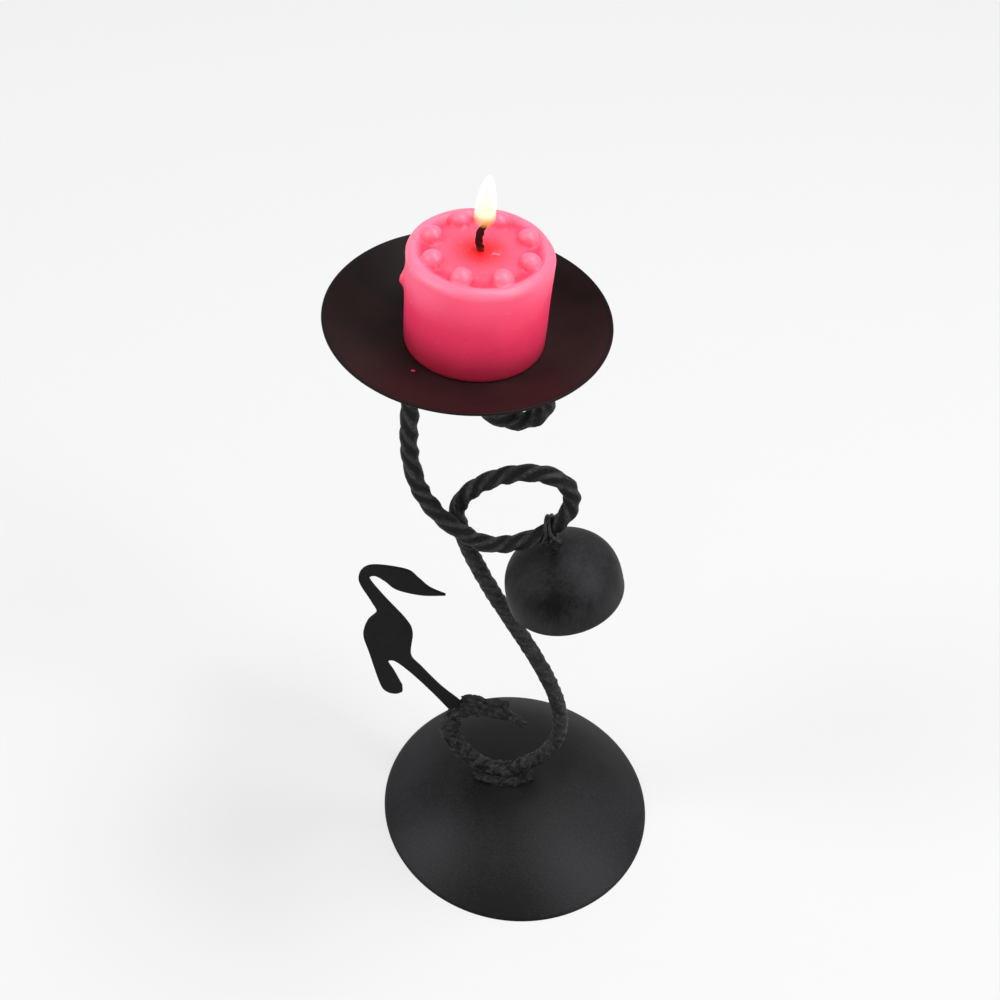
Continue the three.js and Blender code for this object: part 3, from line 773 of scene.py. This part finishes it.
def through(points, per_span=10):
    """A smooth line through points, as a draughtsman's spline."""
    points = np.array(points, float)
    padded = np.vstack([points[0], points, points[-1]])
    line = []
    for i in range(len(points) - 1):
        a, b, c, d = padded[i : i + 4]
        for t in np.arange(per_span) / per_span:
            line.append(
                b
                + 0.5 * (c - a) * t
                + (a - 2.5 * b + 2 * c - 0.5 * d) * t * t
                + 0.5 * (3 * (b - c) + d - a) * t**3
            )
    return [*line, points[-1]]


def cut_sheet(name, outline, thickness, edge, finish, body, replaces):
    """A sheet in the plane of the stand, cut to an outline, with its edges eased."""
    drawn = bpy.data.curves.new(name, "CURVE")
    drawn.dimensions = "2D"
    drawn.fill_mode = "BOTH"
    drawn.extrude = (thickness / 2 - edge) * MM
    drawn.bevel_depth = edge * MM
    drawn.offset = -edge * MM
    drawn.bevel_resolution = 2
    spline = drawn.splines.new("POLY")
    spline.points.add(len(outline) - 1)
    spline.use_cyclic_u = True
    for point, (x, z) in zip(spline.points, outline):
        point.co = (x * MM, z * MM, 0, 1)
    holder = added(name, drawn)
    bpy.context.view_layer.update()
    worked_out = holder.evaluated_get(bpy.context.evaluated_depsgraph_get())
    solid = bpy.data.meshes.new_from_object(worked_out)
    bpy.data.objects.remove(holder)
    solid.transform(Matrix.Rotation(math.pi / 2, 4, "X"))
    solid.transform(Matrix.Translation(foot_middle))
    solid.materials.clear()
    solid.materials.append(finish.material)
    made = added(name, solid)
    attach(made, body)
    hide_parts(*replaces)


bird_iron = black_iron("bird_iron", colour(24, 23, 23), colour(9, 8, 8), cloud=60, polish=0.62)
bird_outline = through(BIRD_BACK)[:-1] + through(BIRD_LEG)[:-1] + through(BIRD_BREAST)[:-1]
cut_sheet(
    "bird", bird_outline, BIRD_SHEET, BIRD_EDGE, bird_iron, "stand", ["bird_figure"]
)


# ------------------------------------------------------------------ dish
# A round of 1.2 mm sheet, dished over a stake to a wide shallow rise, blackened with oil so that it is
# a warm brown black. Its edge is filed round.
DISH_X = -38.8
DISH_RADIUS = 49.8
DISH_RIM = 290
DISH_DEPTH = 9.6
DISH_FLOOR_RADIUS = 28
DISH_FLARE = 1.6
DISH_SHEET = 1.2


def dish_height(radius):
    out = np.clip((radius - DISH_FLOOR_RADIUS) / (DISH_RADIUS - DISH_FLOOR_RADIUS), 0, None)
    return DISH_RIM - DISH_DEPTH + DISH_DEPTH * out**DISH_FLARE


def dish_profile():
    reach = DISH_RADIUS - DISH_SHEET / 2
    radii = [0.0, *np.linspace(6, DISH_FLOOR_RADIUS, 6), *np.linspace(29, reach, 24)]
    top = [(radius, dish_height(radius)) for radius in radii]
    middle = dish_height(reach) - DISH_SHEET / 2
    rim = [
        (reach + DISH_SHEET / 2 * math.sin(turn), middle + DISH_SHEET / 2 * math.cos(turn))
        for turn in np.linspace(0.3, math.pi - 0.3, 7)
    ]
    under = [(radius, height - DISH_SHEET) for radius, height in top[::-1]]
    return [*top, *rim, *under]


dish_points, dish_faces = turned(dish_profile(), 176)
outness = smoothstep(np.hypot(dish_points[:, 0], dish_points[:, 1]), 30, 46)
dish_points[:, 2] += outness * (unevenness(dish_points, 34, 0.25, 6) - 0.12)
dish_points[:, 0] += DISH_X


def oiled_iron(name):
    """Oil-blackened sheet: brown black, with faint rings of heat and small rubbed spots. It is redder
    towards the front, a painted reflection of the candle, and darker towards the back and at its rim,
    painted shade.
    """
    finish = Finish(name, {"Metallic": 0.1, "Specular IOR Level": 0.1})
    clouds = finish.ease(finish.grain(34, 4, 0.6, distortion=0.5), 0.3, 0.72)
    specks = finish.grain(1300, 3, 0.6)
    rubbed = finish.ease(specks, 0.6, 0.8)
    # Painted reflection of the candle, redder and lighter towards the front, and painted shade towards the
    # back
    front_reflection_back_shade = 1 - finish.ease(finish.axis("Y") * 1000 + finish.axis("X") * -400, -30, 45)
    tone = finish.blend((front_reflection_back_shade + (clouds - 0.5) * 0.5).clamped(), colour(17, 8, 8), colour(44, 22, 23))
    across = finish.axis("X") * 1000 - (DISH_X + foot_middle.x / MM)
    deep = finish.axis("Y") * 1000
    # Painted shade: a darker ring at the rim
    rim = finish.ease((across * across + deep * deep) ** 0.5, 47.5, 49)
    tone = finish.blend(rim * 0.7, tone, colour(15, 11, 11))
    return finish.surfaced(
        finish.blend(rubbed * 0.3, tone, colour(56, 38, 38)),
        0.44 + clouds * 0.08 + specks * 0.08,
        finish.relief(specks, 0.00005, 0.5),
    )


dish_iron = oiled_iron("oiled_iron")
piece("dish", dish_points, dish_faces, dish_iron, "stand", replaces=["drip_plate"])


# ------------------------------------------------------------------ bell
# A round of sheet raised to a half-round bell, left with faint upright marks of the hammer and brush.
# It hangs by a wire on the middle loop and leans away from the stem.
HANG_POINT = np.array([-1.22, -2.44, 193.27])
HANGER_LEAN = 18
HANGER_DROP = 7.337
BELL_LEAN = 14.7
BELL_RADIUS = 23.8
BELL_HEIGHT = 24.6
BELL_SHEET = 1.2
EYE_RADIUS = 2.575
EYE_WIRE = 1.2
CROWN_DROP = 3.475
COLLAR_TOP = 5.302
CLAPPER_PIVOT = 11.452
IRON_WIRE = 1.4
STRAND_OFFSET = 0.73


def leaning(points, point, lean):
    """Points turned so that what hangs down leans to the right, then moved to a point."""
    turn = np.array(Matrix.Rotation(-math.radians(lean), 3, "Y"))
    return np.array(points) @ turn.T + point


def below(point, distance, lean):
    angle = math.radians(lean)
    return point + distance * np.array([math.sin(angle), 0, -math.cos(angle)])


BELL_POINT = below(HANG_POINT, HANGER_DROP, HANGER_LEAN)
CLAPPER_POINT = below(BELL_POINT, CLAPPER_PIVOT, BELL_LEAN)


def bell_skin(radius, height, crown):
    share = np.linspace(0.08, 1, 34) ** 2
    depth = share * height
    rise = np.clip(1 - depth / height, 0, 1)
    reach = radius * (1 - rise**3.6) ** 0.65
    return list(zip(reach, -crown - depth))


def bell_profile():
    outer = bell_skin(BELL_RADIUS, BELL_HEIGHT, CROWN_DROP)
    inner = bell_skin(BELL_RADIUS - BELL_SHEET, BELL_HEIGHT - 0.1, CROWN_DROP + BELL_SHEET)
    inner = [(r, max(z, outer[-1][1] + 0.15)) for r, z in inner]
    lip = [(outer[-1][0] - 0.25, outer[-1][1]), (inner[-1][0] + 0.25, outer[-1][1])]
    hole = [(1.3, -CROWN_DROP), (1.3, -CROWN_DROP - BELL_SHEET)]
    return [hole[0], *outer, *lip, *inner[::-1], hole[1], hole[0]]


bell_points, bell_faces = turned(bell_profile(), 144)
bell_out = np.hypot(bell_points[:, 0], bell_points[:, 1])
squeeze = 1 + unevenness(bell_points, 22, 0.008, 4) * np.clip(bell_out / 8 - 0.6, 0, 1) - 0.004
bell_points[:, :2] *= squeeze[:, None]


def raised_iron(name):
    """Raised sheet, brushed: a dark stripe down the front, a painted dark reflection, lighter to its left
    and right, painted reflections of the soft boxes, and darker behind, painted shade.
    """
    finish = Finish(name, {"Metallic": 0.1, "Specular IOR Level": 0.13})
    painted_light = finish.kept("painted_light")
    clouds = finish.ease(finish.grain(70, 4, 0.6, stretch=(1.6, 1.6, 0.7), distortion=0.5), 0.3, 0.72)
    brush = finish.grain(900, 3, 0.6, stretch=(1, 1, 0.12))
    specks = finish.grain(1500, 2, 0.6)
    tone = (painted_light * 0.7 + (clouds - 0.5) * 0.4 + (brush - 0.5) * 0.9 + (specks - 0.5) * 0.5).clamped()
    return finish.surfaced(
        finish.blend(tone, colour(5, 5, 6), colour(42, 42, 44)),
        0.5 + brush * 0.12,
        finish.relief(specks * 0.4 + brush * 0.6, 0.00006, 0.5),
    )


bell_iron = raised_iron("raised_iron")
hung_bell = leaning(bell_points, BELL_POINT, BELL_LEAN)
bell = piece("bell", hung_bell, bell_faces, bell_iron, "bell", replaces=["bell_shell"])
# The bell's painted light: a dark stripe down the front, strongest at mid height, a painted dark
# reflection; painted shade behind; and lighter elsewhere, painted reflections of the soft boxes
bell_side = np.degrees(np.arctan2(bell_points[:, 1], bell_points[:, 0]))
behind = smoothstep(np.abs((bell_side + 270) % 360 - 180), 80, 150)
middle_height = np.exp(-(((bell_points[:, 2] + CROWN_DROP + 0.36 * BELL_HEIGHT) / 8) ** 2))
front_painted_dark_reflection = np.exp(-(((bell_side + 92) / 28) ** 2)) * (0.15 + 0.85 * middle_height)
mark(bell, "painted_light", 1 - front_painted_dark_reflection - 0.3 * behind)


# ------------------------------------------------------------------ hanging wire, eye and clapper
# Annealed iron wire, wound twice round the bar and through the bell's eye, and closed on itself. The eye
# is a shank with a ring above and below the crown and a collar that holds the bell. The clapper is a ball
# on a wire that is peened over under it.
SEAT_GAP = 0.3
LEAN_ROOM = 0.2
HANGER_SLACK = 0.15
HANGER_SPREAD = 2.4
WIRE_SIDES = 12
EYE_SHANK_RADIUS = 1
COLLAR_RADIUS = 3.2
COLLAR_THICKNESS = 1


def wire_skin(line, radius):
    """Points and faces of round wire along a line of points that closes on itself."""
    count = len(line)
    tangent = np.roll(line, -1, axis=0) - np.roll(line, 1, axis=0)
    tangent = tangent / np.linalg.norm(tangent, axis=1)[:, None]
    normal = np.zeros_like(tangent)
    first = np.cross(tangent[0], [0.3, 0.9, 0.2])
    normal[0] = first / np.linalg.norm(first)
    for i in range(1, count):
        step = normal[i - 1] - tangent[i] * (normal[i - 1] @ tangent[i])
        normal[i] = step / np.linalg.norm(step)
    across = np.cross(tangent[0], normal[0])
    drift = math.atan2(normal[-1] @ across, normal[-1] @ normal[0])
    turn = np.linspace(0, 2 * math.pi, WIRE_SIDES, endpoint=False)
    turn = turn[None, :] - (drift * np.arange(count) / count)[:, None]
    rings = rings_about(line, normal, np.cross(tangent, normal), radius, turn)
    return rings.reshape(-1, 3), ring_skin(rings, along=True)


def hanger_line(count=260):
    """Two turns that lie beside each other, change sides once a turn and spread in front."""
    seat = SEAT_GAP + IRON_WIRE / 2
    rise = BAR_RADIUS + LEAN_ROOM + seat
    reach = BAR_RADIUS + seat + STRAND_OFFSET / 2 + HANGER_SLACK
    turn = np.linspace(0, 4 * math.pi, count, endpoint=False)
    spread = HANGER_SPREAD * np.maximum(0, np.cos(turn + math.pi / 6)) ** 6
    swap = math.pi * (smoothstep(turn, 2.2, 4.1) + smoothstep(turn - 2 * math.pi, 2.2, 4.1))
    outward = STRAND_OFFSET * np.sin(swap)
    height = np.where(np.sin(turn) > 0, rise, HANGER_DROP)
    return np.stack(
        [
            (STRAND_OFFSET + spread) * np.cos(swap),
            STRAND_OFFSET / 2 - (reach + outward) * np.cos(turn),
            (height + outward) * np.sin(turn),
        ],
        axis=1,
    )


def shank(radius, top, bottom, sides):
    """A straight round wire on the Z axis, closed at both ends."""
    return turned([(0, top), (radius, top), (radius, bottom), (0, bottom)], sides)


def ring_line(radius, middle, axis, count=48):
    turn = np.linspace(0, 2 * math.pi, count, endpoint=False)
    circle = np.zeros((count, 3))
    first, second = [k for k in range(3) if k != axis]
    circle[:, first] = radius * np.cos(turn)
    circle[:, second] = radius * np.sin(turn)
    return circle + np.array(middle)


def drawn_wire(name):
    """Annealed wire: dark, with bright streaks where it was drawn and bent."""
    finish = Finish(name, {"Metallic": 0.25, "Specular IOR Level": 0.35})
    streaks = finish.grain(900, 3, 0.6, distortion=0.4)
    tone = finish.ease(streaks, 0.4, 0.7)
    return finish.surfaced(
        finish.blend(tone, colour(18, 18, 19), colour(52, 52, 54)),
        0.42 + streaks * 0.2,
        finish.relief(streaks, 0.00012, 0.5),
    )


wire_iron = drawn_wire("drawn_wire")
hanger_points, hanger_faces = wire_skin(hanger_line(), IRON_WIRE / 2)
hung_wire = leaning(hanger_points, HANG_POINT, HANGER_LEAN)
piece("hanging_wire", hung_wire, hanger_faces, wire_iron, "hanger", replaces=["hanger_wire"])

lower_ring_depth = CLAPPER_PIVOT - EYE_RADIUS
eye_points, eye_faces = joined(
    wire_skin(ring_line(EYE_RADIUS, (0, 0, 0), 1), EYE_WIRE / 2),
    wire_skin(ring_line(EYE_RADIUS, (0, 0, -lower_ring_depth), 0), EYE_WIRE / 2),
    shank(EYE_SHANK_RADIUS, -EYE_RADIUS, -COLLAR_TOP - COLLAR_THICKNESS / 2, 24),
    turned(
        [(0, -COLLAR_TOP), (2.9, -COLLAR_TOP), (COLLAR_RADIUS, -COLLAR_TOP - 0.25),
         (COLLAR_RADIUS, -COLLAR_TOP - 0.75), (2.9, -COLLAR_TOP - COLLAR_THICKNESS),
         (0, -COLLAR_TOP - COLLAR_THICKNESS)],
        32,
    ),
)
hung_eye = leaning(eye_points, BELL_POINT, BELL_LEAN)
piece("bell_hanging_eye", hung_eye, eye_faces, wire_iron, "bell", replaces=["bell_eye"])

CLAPPER_LENGTH = 20
BALL_RADIUS = 4.5
CLAPPER_WIRE = 1.2
PEEN_RADIUS = 1.6
PEEN_HEIGHT = 0.9
ring_drop = EYE_RADIUS - (EYE_WIRE + CLAPPER_WIRE) / 2 - SEAT_GAP
peen_top = CLAPPER_LENGTH + BALL_RADIUS * 0.85
hook_points, hook_faces = joined(
    wire_skin(ring_line(EYE_RADIUS, (0, 0, -ring_drop), 1), CLAPPER_WIRE / 2),
    shank(CLAPPER_WIRE / 2, -ring_drop - EYE_RADIUS, -peen_top, 16),
    turned(
        [(0, -peen_top), (1.3, -peen_top), (PEEN_RADIUS, -peen_top - 0.3), (1.2, -peen_top - 0.75),
         (0, -peen_top - PEEN_HEIGHT)],
        24,
    ),
)
hook_points += CLAPPER_POINT
piece("clapper_wire", hook_points, hook_faces, wire_iron, "clapper", replaces=["clapper_hook"])
ball_profile = [
    (BALL_RADIUS * math.sin(turn), BALL_RADIUS * math.cos(turn) - CLAPPER_LENGTH)
    for turn in np.linspace(0.2, math.pi - 0.56, 22)
]
ball_points, ball_faces = turned(
    [(0.9, ball_profile[0][1]), *ball_profile, (0.9, ball_profile[-1][1]), (0.9, ball_profile[0][1])], 40
)
piece(
    "clapper_ball_iron", ball_points + CLAPPER_POINT, ball_faces, bar_iron, "clapper",
    replaces=["clapper_ball"],
)


# ------------------------------------------------------------------ candle
# A pillar of pink wax, a little wider at its top, poured with eight balls of wax set round the wick in
# a shallow well. The top has softened in the flame's heat, and one short run of wax stands on its side.
CANDLE_X = -36.2
CANDLE_Y = 0.25
CANDLE_FOOT_Z = 280.7
CANDLE_HEIGHT = 37.1
CANDLE_FOOT_RADIUS = 24.4
CANDLE_TOP_RADIUS = 25.2
CANDLE_EDGE = 3.2
CANDLE_HEM = 0.3
WELL_RADIUS = 21.2
WELL_DEPTH = 1.6
WELL_DOME = 1
PEARLS = 8
PEARL_RADIUS = 3.9
PEARL_RING = 17.2
PEARL_DROP = 0.9
PEARL_TURN = -13
RUN_SIDE = 184
RUN_DROP = 16
RUN_OUT = 1.8
RUN_WIDTH = 1.5
RUN_BELOW, RUN_ABOVE = 1.9, 3.8
CRUMB_PLACE = (-53.8, -22.4, 280.9)
CRUMB_HALF = (0.8, 0.55, 0.35)


def candle_profile():
    """From the middle of its foot up the side, over the edge, down into the well and to the wick."""
    hem = [(CANDLE_FOOT_RADIUS - CANDLE_HEM, 0.05), (CANDLE_FOOT_RADIUS, CANDLE_HEM)]
    foot = [(0, 0), (12, 0), (23.6, 0), *hem]
    top = CANDLE_HEIGHT - CANDLE_EDGE
    widening = CANDLE_TOP_RADIUS - CANDLE_FOOT_RADIUS
    side = [
        (CANDLE_FOOT_RADIUS + widening * share, CANDLE_HEM + (top - CANDLE_HEM) * share)
        for share in np.linspace(0.03, 1, 44)
    ]
    edge = [
        (CANDLE_TOP_RADIUS - CANDLE_EDGE * (1 - math.cos(turn)), top + CANDLE_EDGE * math.sin(turn))
        for turn in np.linspace(0.12, math.pi / 2, 12)
    ]
    floor = CANDLE_HEIGHT - WELL_DEPTH
    wall = [
        (WELL_RADIUS + 0.9 - 4.0 * share, CANDLE_HEIGHT - WELL_DEPTH * float(smoothstep(share, 0, 1)))
        for share in np.linspace(0.1, 1, 12)
    ]
    well = [
        (radius, floor + WELL_DOME * (1 - radius / (WELL_RADIUS - 2.4)))
        for radius in np.linspace(WELL_RADIUS - 3.4, 0, 56)
    ]
    return [*foot, *side, *edge, *wall, *well]


candle_points, candle_faces = turned(candle_profile(), 224)
candle_out = np.hypot(candle_points[:, 0], candle_points[:, 1])
floor_level = CANDLE_HEIGHT - WELL_DEPTH
in_well = (candle_out < WELL_RADIUS + 1) & (candle_points[:, 2] > floor_level - 1)
for i in range(PEARLS):
    angle = math.radians(PEARL_TURN) + i / PEARLS * 2 * math.pi
    away = np.hypot(
        candle_points[:, 0] - PEARL_RING * math.cos(angle),
        candle_points[:, 1] - PEARL_RING * math.sin(angle),
    )
    cap = np.sqrt(np.clip(PEARL_RADIUS**2 - away**2, 0, None)) + WELL_DEPTH - PEARL_DROP
    skirt = 0.9 * np.exp(-((away / PEARL_RADIUS) ** 2) * 1.3)
    pearl = floor_level + np.maximum(cap * (away < PEARL_RADIUS), skirt)
    candle_points[:, 2] = np.where(in_well, np.maximum(candle_points[:, 2], pearl), candle_points[:, 2])

candle_turn = np.degrees(np.arctan2(candle_points[:, 1], candle_points[:, 0])) % 360
on_side = smoothstep(candle_out, 20, 23.5)
drop_down = CANDLE_HEIGHT - RUN_DROP - candle_points[:, 2]
drop_wide = (candle_turn - RUN_SIDE) * math.radians(1) * CANDLE_TOP_RADIUS
drop_reach = np.where(drop_down > 0, RUN_BELOW, RUN_ABOVE)
drop_body = np.exp(-((drop_wide / RUN_WIDTH) ** 2)) * np.exp(-((drop_down / drop_reach) ** 2))
swell = RUN_OUT * drop_body * on_side
slack = (unevenness(candle_points, 13, 0.42, 7) - 0.3) * on_side * smoothstep(candle_points[:, 2], 4, 26)
outward = 1 + (swell + slack) / np.maximum(candle_out, 1)
candle_points[:, :2] *= outward[:, None]
upness = smoothstep(candle_points[:, 2], CANDLE_HEIGHT - 3, CANDLE_HEIGHT - 0.4)
candle_points[:, 2] += upness * (unevenness(candle_points, 11, 0.35, 12) - 0.2)
candle_place = np.array([CANDLE_X, CANDLE_Y, CANDLE_FOOT_Z])


def pink_wax(name):
    """Pink wax with painted light: deep red low down, lighter pink above and at its top edge, lighter high
    on its left, darker where the pearls meet the well's wall, glowing red round the wick and from within
    its side.
    """
    finish = Finish(
        name,
        {
            "Subsurface Weight": 0.35,
            "Subsurface Radius": (1.0, 0.35, 0.3),
            "Subsurface Scale": 0.004,
            "Specular IOR Level": 0.45,
            "Emission Strength": 1.0,
        },
    )
    height = finish.axis("Z") * 1000 - CANDLE_FOOT_Z
    across = finish.axis("X") * 1000 - (CANDLE_X + foot_middle.x / MM)
    deep = finish.axis("Y") * 1000 - CANDLE_Y
    away = (across * across + deep * deep) ** 0.5
    patches = finish.grain(110, 4, 0.6, distortion=0.3)
    # Painted light: deep red low down, painted shade at the foot, and pink higher up, the flame's painted
    # glow through the wax
    low = finish.ease(height + (patches - 0.5) * 5, 0, 19)
    high = finish.ease(height + (patches - 0.5) * 4, 17, 34)
    # Painted glow of the flame at the top edge
    rim = finish.ease(height, 33.2, 36.6)
    body = finish.blend(low, colour(164, 32, 54), colour(226, 58, 90))
    body = finish.blend(high, body, colour(253, 90, 123))
    # Painted highlight: lighter high on the left side
    left_painted_highlight = finish.ease(across * -1, 2, 20) * finish.ease(height, 18, 30) * finish.ease(away, 20, 23)
    body = finish.blend(left_painted_highlight * 0.5, body, colour(255, 128, 158))
    body = finish.blend(rim * 0.5, body, colour(255, 120, 146))
    pearl = finish.ease(height, 37.2, 39.2)
    inside = (1 - finish.ease(away, 16, 20)) * (1 - pearl)
    body = finish.blend(inside * 0.6, body, colour(246, 62, 92))
    # Painted shade: a darker ring where the pearls meet the well's wall
    ring = finish.ease(away, 14.5, 18) * (1 - finish.ease(away, 19, 21.5))
    crease_painted_shade = ring * (1 - finish.ease(height, 36, 37.6))
    body = finish.blend(crease_painted_shade * 0.85, body, colour(236, 44, 82))
    glow = 1 - finish.ease(away, 1.5, 13)
    body = finish.blend(glow, body, colour(228, 3, 14))
    scratches = finish.grain(300, 4, 0.7, stretch=(1, 1, 3.2), distortion=0.8)
    scuffs = finish.ease(scratches, 0.6, 0.74) * finish.ease(height, 6, 22)
    body = finish.blend(scuffs * 0.45, body, colour(255, 150, 176))
    # Painted glow: the side gives off red light of its own, most at mid height, more on the right
    lit_through = finish.ease(height, -3, 15) * (1 - finish.ease(height, 31, 36))
    lit_through = lit_through * finish.ease(away, 20, 24)
    lit_through = lit_through * (finish.ease(across, 8, 24) * 0.6 + 0.95)
    soft = finish.grain(180, 3, 0.5)
    return finish.surfaced(
        body,
        0.34 + patches * 0.16,
        glow=finish.blend(lit_through, (0, 0, 0, 1), colour(132, 22, 52)),
        bump=finish.relief(soft, 0.0005, 0.4),
    )


wax = pink_wax("pink_wax")
candle_points += candle_place
piece("candle", candle_points, candle_faces, wax, "candle", replaces=["candle_wax"])

# A crumb of the same wax lies on the dish
crumb_points, crumb_faces = capped(weld_lump(CRUMB_PLACE, CRUMB_HALF, 0.0, 15, (16, 10)))
piece("wax_crumb", crumb_points, crumb_faces, wax, "stand")


# ------------------------------------------------------------------ wick and flame
# A plaited cotton wick, burnt black, bent by its own weight and glowing at its tip. The flame is hot gas
# and no piece of the stand: it is a row of lights that go with the candle. Only the camera sees them.
WICK_RADIUS = 1.2
WICK_HEIGHT = 11.6
WICK_SWAY = -0.8
WICK_CURL = 1.3
wick_foot = np.array([CANDLE_X, CANDLE_Y, CANDLE_FOOT_Z + CANDLE_HEIGHT - WELL_DEPTH])


def wick_line():
    bends = [(0, -1.5), (0, 1), (WICK_SWAY, 4.1), (WICK_SWAY / 2, 8.1), (WICK_CURL, WICK_HEIGHT)]
    return np.array([(x, 0, z) for x, z in through(bends, 12)])


def plaited(line, radius, sides=20):
    """A cord of four strands that turn about each other, thinner at its burnt tip."""
    side, outward = square_frame(directions(line))
    run = np.linspace(0, 1, len(line))
    turn = np.linspace(0, 2 * math.pi, sides, endpoint=False)
    strand = 1 + 0.13 * np.cos(4 * (turn[None, :] - 9 * run[:, None]))
    thin = 1 - 0.45 * smoothstep(run, 0.72, 1)
    reach = radius * strand * thin[:, None]
    return rings_about(line, side, outward, reach, turn)


def burnt_cord(name):
    """Charred cotton: near black, dark red low down where the wax soaks it, an ember at the tip."""
    finish = Finish(name, {"Specular IOR Level": 0.2, "Emission Strength": 1.0})
    height = finish.axis("Z") * 1000 - float(wick_foot[2])
    fibres = finish.grain(1800, 3, 0.6)
    char = finish.ease(height, 0.5, 3)
    ember = finish.ease(height, 9.6, 11.4)
    tone = finish.blend(char, colour(150, 24, 28), colour(58, 12, 10))
    return finish.surfaced(
        finish.blend(fibres * 0.4, tone, colour(30, 10, 10)),
        0.8 + fibres * 0.15,
        glow=finish.blend(ember, (0, 0, 0, 1), colour(168, 66, 20)),
        bump=finish.relief(fibres, 0.0002, 0.8),
    )


wick_points, wick_faces = capped(plaited(wick_line(), WICK_RADIUS))
wick_points += wick_foot
charred = burnt_cord("burnt_cord")
piece("wick", wick_points, wick_faces, charred, "candle", replaces=["candle_wick"])

FLAME_HEIGHT = 21.2
FLAME_RADIUS = 3.7
FLAME_LEAN = 0.7
FLAME_LOWEST = 0.27
FLAME_HIGHEST = 0.94
FLAME_LIGHTS = 22
FLAME_LEVEL = 0.2
# Below this share of its height the flame is yellow, and above it nearly white
FLAME_WARM = 0.34
FLAME_YELLOW = colour(255, 196, 90)[:3]
FLAME_WHITE = colour(255, 246, 190)[:3]

# Each light is a ball whose brightness doesn't depend on its size. Where balls overlap they add up
flame_foot = wick_foot + np.array([0.4, 0, 8.2])
for step, rise in enumerate(np.linspace(FLAME_LOWEST, FLAME_HIGHEST, FLAME_LIGHTS)):
    reach = FLAME_RADIUS * (1 - rise**2.6) ** 0.62 * float(smoothstep(rise, -0.12, 0.16)) * MM
    lamp = bpy.data.lights.new(f"flame_light_{step}", "POINT")
    lamp.shadow_soft_size = reach
    lamp.energy = FLAME_LEVEL * 4 * math.pi**2 * reach**2
    lamp.color = FLAME_YELLOW if rise < FLAME_WARM else FLAME_WHITE
    lamp.use_shadow = False
    glow = added(lamp.name, lamp)
    middle = flame_foot + np.array([FLAME_LEAN * rise**1.5, 0, FLAME_HEIGHT * rise])
    glow.location = middle * MM + np.array(foot_middle)
    glow.visible_camera = True
    glow.visible_diffuse = glow.visible_glossy = glow.visible_transmission = False
    glow.parent = frame["bodies"]["candle"]
